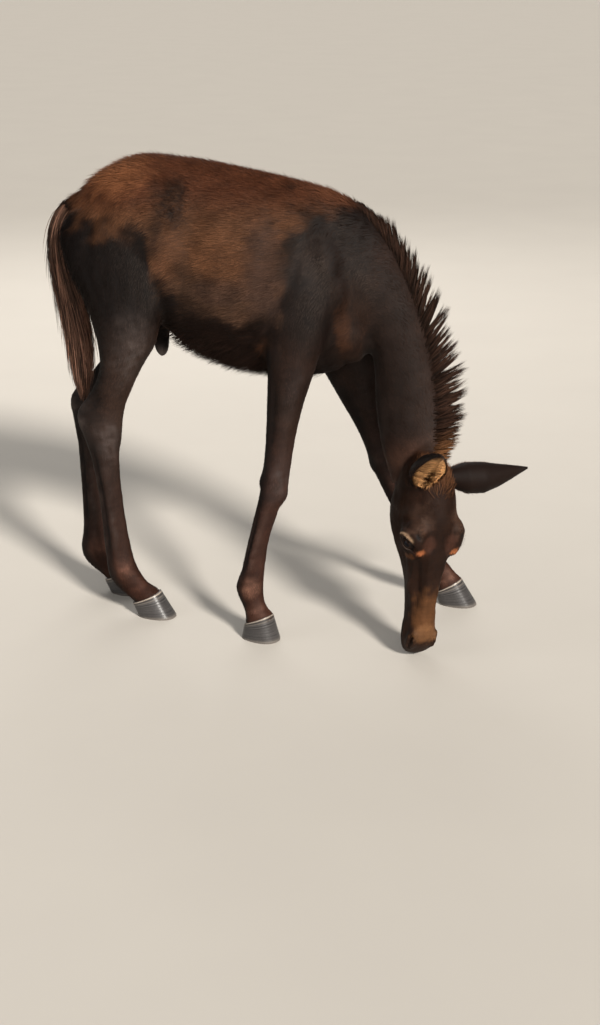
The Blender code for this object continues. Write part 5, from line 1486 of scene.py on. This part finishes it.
def coat_colours(points, state):
    """The markings: brown over the back and barrel, black-brown legs, thighs, shoulders and
    neck, a tan nose and brown poll, in uneven borders."""
    x, _, z = points.T
    share = state["share"]
    broad, small = waves(points, 0.07, 31), waves(points * STREAKED, 0.012, 32)
    line = np.array(BROWN_LINE).T
    slope = (np.interp(x + 0.006, *line) - np.interp(x - 0.006, *line)) / 0.012
    above = (z - np.interp(x, *line)) / np.sqrt(1 + slope * slope) + 0.012 * broad + 0.007 * small
    upper = layered(BARREL_LOW, (BARREL, ramp(0.70, 0.82, z)), (BACK, ramp(0.86, 0.93, z)))
    lower = layered(
        THIGH_SHADED, (SHOULDER, ramp(0.08, 0.16, x)),
        (CHEST, ramp(0.22, 0.27, x) * ramp(0.80, 0.70, z)),
        (BELLY, ramp(0.70, 0.64, z) * ramp(0.20, 0.12, x) * ramp(-0.16, -0.10, x)),
        (BARREL_LOW, ramp(0.66, 0.74, z) * ramp(-0.09, -0.04, x) * ramp(0.14, 0.09, x) * 0.7))
    colour = patched(points, 1, BODY_PATCHES, mix(lower, upper, ramp(-0.034, 0.034, above)))
    whorl = in_whorl(points, 0.9)
    # In the flank's whorl, painted shade in the partings between clumps, with the streak colour
    # between them.
    parting_shade = ramp(0.75, 0.25, np.abs(waves(points * (1.0, 1.0, 0.4), 0.012, 37)))
    row = state["row"]["neck"]
    neck = layered(NECK_LOW, (NECK_SIDE, ramp(0.2, 0.9, np.cos(state["angle"]["neck"]))),
                   (POLL_BROWN, ramp(7.6, 9.2, row) * 0.7))
    colour = layered(colour, (WHORL, whorl * parting_shade * 0.9), (STREAK, whorl * (1.0 - parting_shade) * 0.35),
                     (neck, ramp(0.35, 0.75, share["neck"]) * ramp(1.2, 2.6, row)))
    for name in LIMBS:
        colour = mix(colour, limb_colours(name, points, state),
                     ramp(0.3, 0.8, share[name]) * ramp(2.6, 4.2, state["row"][name]))
    sheath = mix(SHEATH_SKIN, SHEATH_TIP, ramp(2.0, 3.6, state["row"]["sheath"]))
    colour = layered(colour, (DOCK_BARE, ramp(0.3, 0.8, share["dock"])),
                     (sheath, ramp(0.3, 0.8, share["sheath"])),
                     (head_colours(points), ramp(0.3, 0.7, share["head"])))
    return colour * np.clip(1.0 + 0.10 * broad + 0.10 * small, 0.5, 1.6)[:, None]


def new_material(name, **sockets):
    """A node material with a Principled shader, whose constants are set on its own sockets."""
    material = bpy.data.materials.new(name)
    material.use_nodes = True
    shader = material.node_tree.nodes["Principled BSDF"]
    for socket, value in sockets.items():
        shader.inputs[socket.replace("_", " ")].default_value = value
    return material, material.node_tree.nodes, material.node_tree.links, shader


def placed_node(nodes, kind_of_node, **settings):
    """A new node, with its properties and the constants of its sockets."""
    node = nodes.new(kind_of_node)
    for key, value in settings.items():
        if hasattr(node, key):
            setattr(node, key, value)
        else:
            node.inputs[key.replace("_", " ")].default_value = value
    return node


def noise_on(nodes, links, kind_of_node, **settings):
    """A texture on the object's own coordinates."""
    texture = placed_node(nodes, kind_of_node, **settings)
    place = nodes.new("ShaderNodeTexCoord")
    links.new(place.outputs["Object"], texture.inputs["Vector"])
    return texture


def mottle_group():
    """Colour times a slow and a fine noise on object coordinates, each round 1, and the same
    fine noise as a mask."""
    group = bpy.data.node_groups.new("uneven tone", "ShaderNodeTree")
    for title, type_name, default in (
            ("Colour", "NodeSocketColor", (1, 1, 1, 1)), ("Slow Size", "NodeSocketFloat", 12.0),
            ("Fine Size", "NodeSocketFloat", 260.0), ("Amount", "NodeSocketFloat", 0.5)):
        socket = group.interface.new_socket(title, in_out="INPUT", socket_type=type_name)
        socket.default_value = default
    for title, type_name in (("Colour", "NodeSocketColor"), ("Mask", "NodeSocketFloat")):
        group.interface.new_socket(title, in_out="OUTPUT", socket_type=type_name)
    nodes, links = group.nodes, group.links
    into, out = nodes.new("NodeGroupInput"), nodes.new("NodeGroupOutput")
    both, centred, scaled = (placed_node(nodes, "ShaderNodeMath", operation=operation)
                             for operation in ("ADD", "SUBTRACT", "MULTIPLY_ADD"))
    for i, (size, detail) in enumerate((("Slow Size", 3.0), ("Fine Size", 2.0))):
        noise = noise_on(nodes, links, "ShaderNodeTexNoise", Detail=detail, Roughness=0.6)
        links.new(into.outputs[size], noise.inputs["Scale"])
        links.new(noise.outputs["Fac"], both.inputs[i])
    links.new(noise.outputs["Fac"], out.inputs["Mask"])
    links.new(both.outputs[0], centred.inputs[0])
    centred.inputs[1].default_value = 1.0
    links.new(centred.outputs[0], scaled.inputs[0])
    links.new(into.outputs["Amount"], scaled.inputs[1])
    scaled.inputs[2].default_value = 1.0
    tint = placed_node(nodes, "ShaderNodeVectorMath", operation="SCALE")
    links.new(into.outputs["Colour"], tint.inputs[0])
    links.new(scaled.outputs[0], tint.inputs["Scale"])
    links.new(tint.outputs[0], out.inputs["Colour"])
    return group


def painted(name, mottle, sizes, gloss, **sockets):
    """A material of the painted colour made uneven, by slow size, fine size and amount, with
    a roughness that varies between two values."""
    material, nodes, links, shader = new_material(name, **sockets)
    tone = nodes.new("ShaderNodeGroup")
    tone.node_tree = mottle
    for key, value in zip(("Slow Size", "Fine Size", "Amount"), sizes):
        tone.inputs[key].default_value = value
    paint_of = placed_node(nodes, "ShaderNodeAttribute", attribute_name="coat")
    links.new(paint_of.outputs["Color"], tone.inputs["Colour"])
    span = placed_node(nodes, "ShaderNodeMapRange", To_Min=gloss[0], To_Max=gloss[1])
    links.new(tone.outputs["Mask"], span.inputs["Value"])
    links.new(span.outputs["Result"], shader.inputs["Roughness"])
    links.new(tone.outputs["Colour"], shader.inputs["Base Color"])
    return material, nodes, links, shader, tone


def bumped(nodes, links, height, distance, strength, shader):
    bump = placed_node(nodes, "ShaderNodeBump", Distance=distance, Strength=strength)
    links.new(height, bump.inputs["Height"])
    links.new(bump.outputs["Normal"], shader.inputs["Normal"])


def hair_material(name, mottle, gloss, level, tint):
    """Hair: the strands' own colour, uneven, with a soft gloss that varies."""
    return painted(name, mottle, (14.0, 420.0, 0.9), gloss, Specular_IOR_Level=level,
                   Specular_Tint=tint)[0]


def skin_material(name, mottle, gloss, size, distance, level):
    """Skin under the coat, lips and lids: painted colour, fine pores and creases as bump."""
    material, nodes, links, shader, tone = painted(name, mottle, (20.0, size, 0.8), gloss,
                                                   Specular_IOR_Level=level)
    pores = noise_on(nodes, links, "ShaderNodeTexVoronoi", Scale=size * 1.6)
    sum_of = placed_node(nodes, "ShaderNodeMath", operation="ADD")
    links.new(pores.outputs["Distance"], sum_of.inputs[0])
    links.new(tone.outputs["Mask"], sum_of.inputs[1])
    bumped(nodes, links, sum_of.outputs[0], distance, 0.6, shader)
    return material


def horn_material(mottle):
    """Slate horn with growth rings along the painted height."""
    material, nodes, links, shader, tone = painted("hoof horn", mottle, (30.0, 300.0, 0.55),
                                                   (0.25, 0.45), Specular_IOR_Level=0.28)
    height = nodes.new("ShaderNodeSeparateColor")
    growth = placed_node(nodes, "ShaderNodeAttribute", attribute_name="growth")
    links.new(growth.outputs["Color"], height.inputs[0])
    rings = placed_node(nodes, "ShaderNodeTexNoise", noise_dimensions="1D", Scale=20.0,
                        Detail=4.0)
    links.new(height.outputs[0], rings.inputs["W"])
    shade = placed_node(nodes, "ShaderNodeMapRange", From_Min=0.25, From_Max=0.75, To_Min=0.55,
                        To_Max=1.75)
    links.new(rings.outputs["Fac"], shade.inputs["Value"])
    banded = placed_node(nodes, "ShaderNodeVectorMath", operation="SCALE")
    links.new(tone.outputs["Colour"], banded.inputs[0])
    links.new(shade.outputs["Result"], banded.inputs["Scale"])
    links.new(banded.outputs[0], shader.inputs["Base Color"])
    bumped(nodes, links, rings.outputs["Fac"], 0.0004, 0.35, shader)
    return material


def eye_material(mottle):
    """A wet dark eye: painted iris and pupil under a clear coat."""
    return painted("eye", mottle, (90.0, 900.0, 1.2), (0.05, 0.12), Coat_Weight=0.16,
                   Coat_Roughness=0.02, IOR=1.38, Specular_IOR_Level=0.06)[0]


# Lashes of an eye: how many, their length, width and bend, the height of their roots over the
# ball, and their place on the chart of the skin.
LASHES = 64
LASH_LENGTH = 0.011
LASH_WIDTH = 0.0005
LASH_BEND = 1.3
LASH_RISE = 0.0030
LASH_CHART = (0.45, 0.4)


def build_eyes(material, lid_material, hair):
    """Eyeballs, lids round their openings, and lashes from the upper margins."""
    rng = np.random.default_rng(HAIR_SEED + 7)
    for name in EYES:
        mesh, ball = eye_mesh(name)
        a, b, out = ball.T
        angle = np.degrees(np.arccos(np.clip(out, -1, 1)))
        pupil = np.sqrt((a / 0.42) ** 2 + (b / 0.20) ** 2)
        paint(mesh, "coat", layered(
            EYE_EDGE, (IRIS, ramp(48, 44, angle)), (IRIS_RIM, bell((angle - 42) / 4)),
            (PUPIL, ramp(1.08, 0.95, pupil) * (out > 0))))
        smooth(mesh)
        piece(name.replace("eye", "eyeball"), mesh, material, (name,))
        lid, outward, turn = lid_mesh(name)
        upper = ramp(0.0, 0.4, np.sin(turn))
        lower = ramp(0.1, 0.6, -np.sin(turn))
        # The lids get painted highlights on the upper fold and the lower margin.
        paint(lid, "coat", layered(
            LID_DARK,
            (LID_FOLD_HIGHLIGHT, upper * bell((outward - 0.55) / 0.30) * ramp(-0.95, -0.4, -np.cos(turn))
             * 0.95),
            (LID_MARGIN_HIGHLIGHT, lower * bell((outward - 0.08) / 0.06) * 0.8),
            (LID_RUST, lower * ramp(0.30, 0.60, outward) * 0.85),
            (LID_CORNER, ramp(0.25, 0.60, outward) * ramp(0.55, 0.95, np.cos(turn)) * 0.9)))
        smooth(lid)
        piece(name.replace("eye", "lid"), lid, lid_material)
        build_lashes(name, rng, hair)


def build_lashes(name, rng, hair):
    """Lashes from an eye's upper margin, bent down over the eye."""
    centre, radius, axes = eye_place(name)
    angle = np.pi * (0.12 + 0.76 * (np.arange(LASHES) + rng.random(LASHES)) / LASHES)
    long, wide = lid_slopes(True)
    aim = np.stack([long * np.cos(angle), wide * np.sin(angle) + 0.04, np.ones(LASHES)], -1)
    root = centre + unit(aim) @ axes * (radius + LASH_RISE)
    out = unit(unit(aim) * (1, 0.6, 1)) @ axes
    down = np.array((0.25, 0.12, 0.0)) @ HEAD_AXES
    s = np.linspace(0, 1, 4)[None, :, None]
    long = (LASH_LENGTH * rng.uniform(0.6, 1.1, LASHES)
            * (0.6 + 0.4 * np.sin(angle)))[:, None, None]
    across = -axes[1] * 0.4 + down
    path = root[:, None] + out[:, None] * long * s + across * long * s * s * LASH_BEND
    hair_piece("lashes" + name[3:], path, np.tile(axes[1], (LASHES, 1)),
               np.full((LASHES, 1), LASH_WIDTH) * np.array((1.0, 0.9, 0.6, 0.0)),
               np.tile(np.array(LASH), (LASHES, 1)), np.full((LASHES, 2), LASH_CHART), hair)


def build_ears(skin_look, hair):
    """Ears with short dark hair outside and long tan hair in the cup."""
    for name in EARS:
        mesh, share, inside = ear_mesh(name)
        points, normals, _, _ = read(mesh)
        colour = np.where(inside[:, None], mix(EAR_TAN, EAR_DEEP, ramp(0.55, 0.95, share)),
                          np.array(EAR_DARK))
        colour = mix(colour, EAR_TIP, ramp(0.82, 0.97, share))
        paint(mesh, "coat", colour * 0.7)
        smooth(mesh)
        start, axis, front, aside = ear_frame(name)
        off = (points - start) @ aside
        reach = np.interp(share, *np.array(EAR).T[:2])
        ahead = ((points - start) @ front) / reach
        rim = ramp(-0.75, -0.15, ahead)
        lie = unit(axis - normals * (normals @ axis)[:, None])
        chart = np.stack([0.40 + 0.1 * inside, 0.05 + 0.9 * np.clip(share, 0, 1)], 1)
        shell = Skin(mesh, {"lie": lie, "chart": chart})
        piece(name.replace("ear", "ear_leaf"), mesh, skin_look, (name,))
        ends = ramp(0.0, 0.03, share) * ramp(1.0, 0.97, share)
        long_tufts(name + "_coat", shell, colour, hair, np.where(inside, 0.0, 60e4) * ends,
                   unit(lie + normals * 0.05), 0.0050 - 0.0015 * share, 0.0014, 11, spread=0.05,
                   stations=2)
        across = -aside * np.sign(off)[:, None] * rim[:, None]
        deep = np.where(inside, 20e4 + 30e4 * rim, 0.0) * ends
        long_tufts(name + "_fill", shell, colour, hair, deep,
                   unit(lie * 0.75 + across * 0.8 + normals * (1 - rim)[:, None] + front * 0.35),
                   reach * (0.85 + 0.15 * rim), 0.0012, 12, root=0.9, spread=0.14,
                   facing=axis + front * 0.6)
        edge = np.where(inside, 0.0, 26e4) * ends * ramp(-0.35, -0.1, ahead)
        long_tufts(name + "_fringe", shell, mix(colour, EAR_FRINGE, 0.8 + 0 * share), hair, edge,
                   unit(lie * 0.8 + front * 0.7 + normals * 0.25), 0.0100 - 0.006 * share, 0.0007,
                   13, spread=0.15)


def build_hooves(material):
    """Hooves in slate horn, paler at the coronet and where the ground wears them."""
    for name in HOOVES:
        mesh, share = hoof_mesh(name)
        slate = HORN
        for place, reach, tone, strength in CORONET_BANDS:
            slate = mix(slate, tone, bell((share - place) / reach) * strength)
        paint(mesh, "coat", mix(slate, HORN_WORN, ramp(0.20, 0.0, share) * 0.7))
        paint(mesh, "growth", np.repeat(share[:, None], 3, 1))
        smooth(mesh)
        piece(name.replace("hoof", "horn"), mesh, material, (name,))


# The lamps: name, kind, place, size in metres or the sun's angle, strength and colour.
LAMPS = (
    ("key", "SUN", (2.4, -2.6, 2.5), 0.16, 6.0, (1.0, 0.95, 0.88)),
    ("fill", "AREA", (-3.0, -2.4, 1.8), 2.5, 24.0, (0.95, 0.97, 1.0)),
    ("low", "SUN", (1.2, -3.2, 1.0), 0.7, 1.0, (1.0, 0.97, 0.92)),
    ("rim", "AREA", (-1.5, 3.4, 3.0), 2.8, 75.0, (1.0, 0.98, 0.95)),
)
LAMPS_AIM = (0.0, 0.0, 0.5)
FLOOR_SIZE = 90.0
FLOOR_TONES = {"A": (0.48, 0.45, 0.41, 1), "B": (0.51, 0.48, 0.435, 1)}
ROOM_COLOUR = (1.0, 0.98, 0.95, 1)
ROOM_STRENGTH = 0.22
# The photograph's camera: place in the drawn frame, direction, lens and sensor width.
CAMERA_PLACE = (1.067, -3.441, 1.45)
CAMERA_AIM = (-0.2451, 0.9147, -0.3214)
CAMERA_LENS = 62.0
CAMERA_SENSOR = 36.0


def aimed(thing, direction):
    """Turns a camera or lamp to look along a direction, and links it."""
    thing.rotation_euler = Vector(direction).to_track_quat("-Z", "Y").to_euler()
    bpy.context.scene.collection.objects.link(thing)


def studio():
    """A plain pale floor, a pale room and soft lights, the main one high at the right."""
    bpy.ops.mesh.primitive_plane_add(size=FLOOR_SIZE, location=(0.0, 0.0, 0.0))
    floor = bpy.context.object
    floor.name = "floor"
    material, nodes, links, shader = new_material("floor", Roughness=0.9)
    noise = noise_on(nodes, links, "ShaderNodeTexNoise", Scale=3.0, Detail=4.0)
    tint = placed_node(nodes, "ShaderNodeMix", data_type="RGBA", **FLOOR_TONES)
    links.new(noise.outputs["Fac"], tint.inputs["Factor"])
    links.new(tint.outputs["Result"], shader.inputs["Base Color"])
    floor.data.materials.append(material)
    world = bpy.context.scene.world or bpy.data.worlds.new("room")
    bpy.context.scene.world = world
    world.use_nodes = True
    room = world.node_tree.nodes["Background"]
    room.inputs["Color"].default_value = ROOM_COLOUR
    room.inputs["Strength"].default_value = ROOM_STRENGTH
    bpy.context.scene.view_settings.view_transform = "Standard"
    for name, kind_of_light, spot, size, power, colour in LAMPS:
        light = bpy.data.lights.new(name, kind_of_light)
        setattr(light, "angle" if kind_of_light == "SUN" else "size", size)
        light.energy = power
        light.color = colour
        lamp = bpy.data.objects.new(name, light)
        lamp.visible_camera = False
        lamp.location = spot
        aimed(lamp, Vector(LAMPS_AIM) - Vector(spot))


def photo_camera():
    """The photograph's camera, at a person's height, looking down on the foal."""
    data = bpy.data.cameras.new("camera")
    data.lens = CAMERA_LENS
    data.sensor_width = CAMERA_SENSOR
    camera = bpy.data.objects.new("camera", data)
    camera.location = Vector(np.array(CAMERA_PLACE) + SHIFT)
    aimed(camera, CAMERA_AIM)
    bpy.context.scene.camera = camera


# The solids that the skin replaces.
LIMB_FLESH = ("forearm", "gaskin", "cannon_fore", "cannon_hind", "pastern_fore", "pastern_hind")
FLESH = ("head", "neck", "torso", "hindquarters",
         *(f"{part}_{side}" for part in LIMB_FLESH for side in ("right", "left")))
WARM_GLOSS = (1.0, 0.80, 0.66, 1)
SLEEK_GLOSS = (1.0, 0.84, 0.74, 1)
# The skin under the coat is darker than the hairs.
SKIN_SHADE = 0.75


def main():
    mottle = mottle_group()
    coat = hair_material("coat", mottle, (0.46, 0.60), 0.075, WARM_GLOSS)
    sleek = hair_material("sleek coat", mottle, (0.38, 0.54), 0.085, SLEEK_GLOSS)
    long_hair = hair_material("long hair", mottle, (0.36, 0.52), 0.11, WARM_GLOSS)
    under = skin_material("skin under the coat", mottle, (0.5, 0.75), 600.0, 0.0004, 0.10)
    lid_look = skin_material("bare lid skin", mottle, (0.40, 0.6), 700.0, 0.0001, 0.2)
    mesh, state = build_skin()
    skin = Skin(mesh, state)
    colours = coat_colours(skin.points, state)
    paint(mesh, "coat", colours * SKIN_SHADE)
    smooth(mesh)
    piece("skin", mesh, under, FLESH)
    build_coat(skin, colours, coat, sleek)
    build_loose(skin, colours, coat)
    build_mane(long_hair)
    build_tail(long_hair)
    build_ears(under, coat)
    build_eyes(eye_material(mottle), lid_look, long_hair)
    build_hooves(horn_material(mottle))
    studio()
    photo_camera()


main()
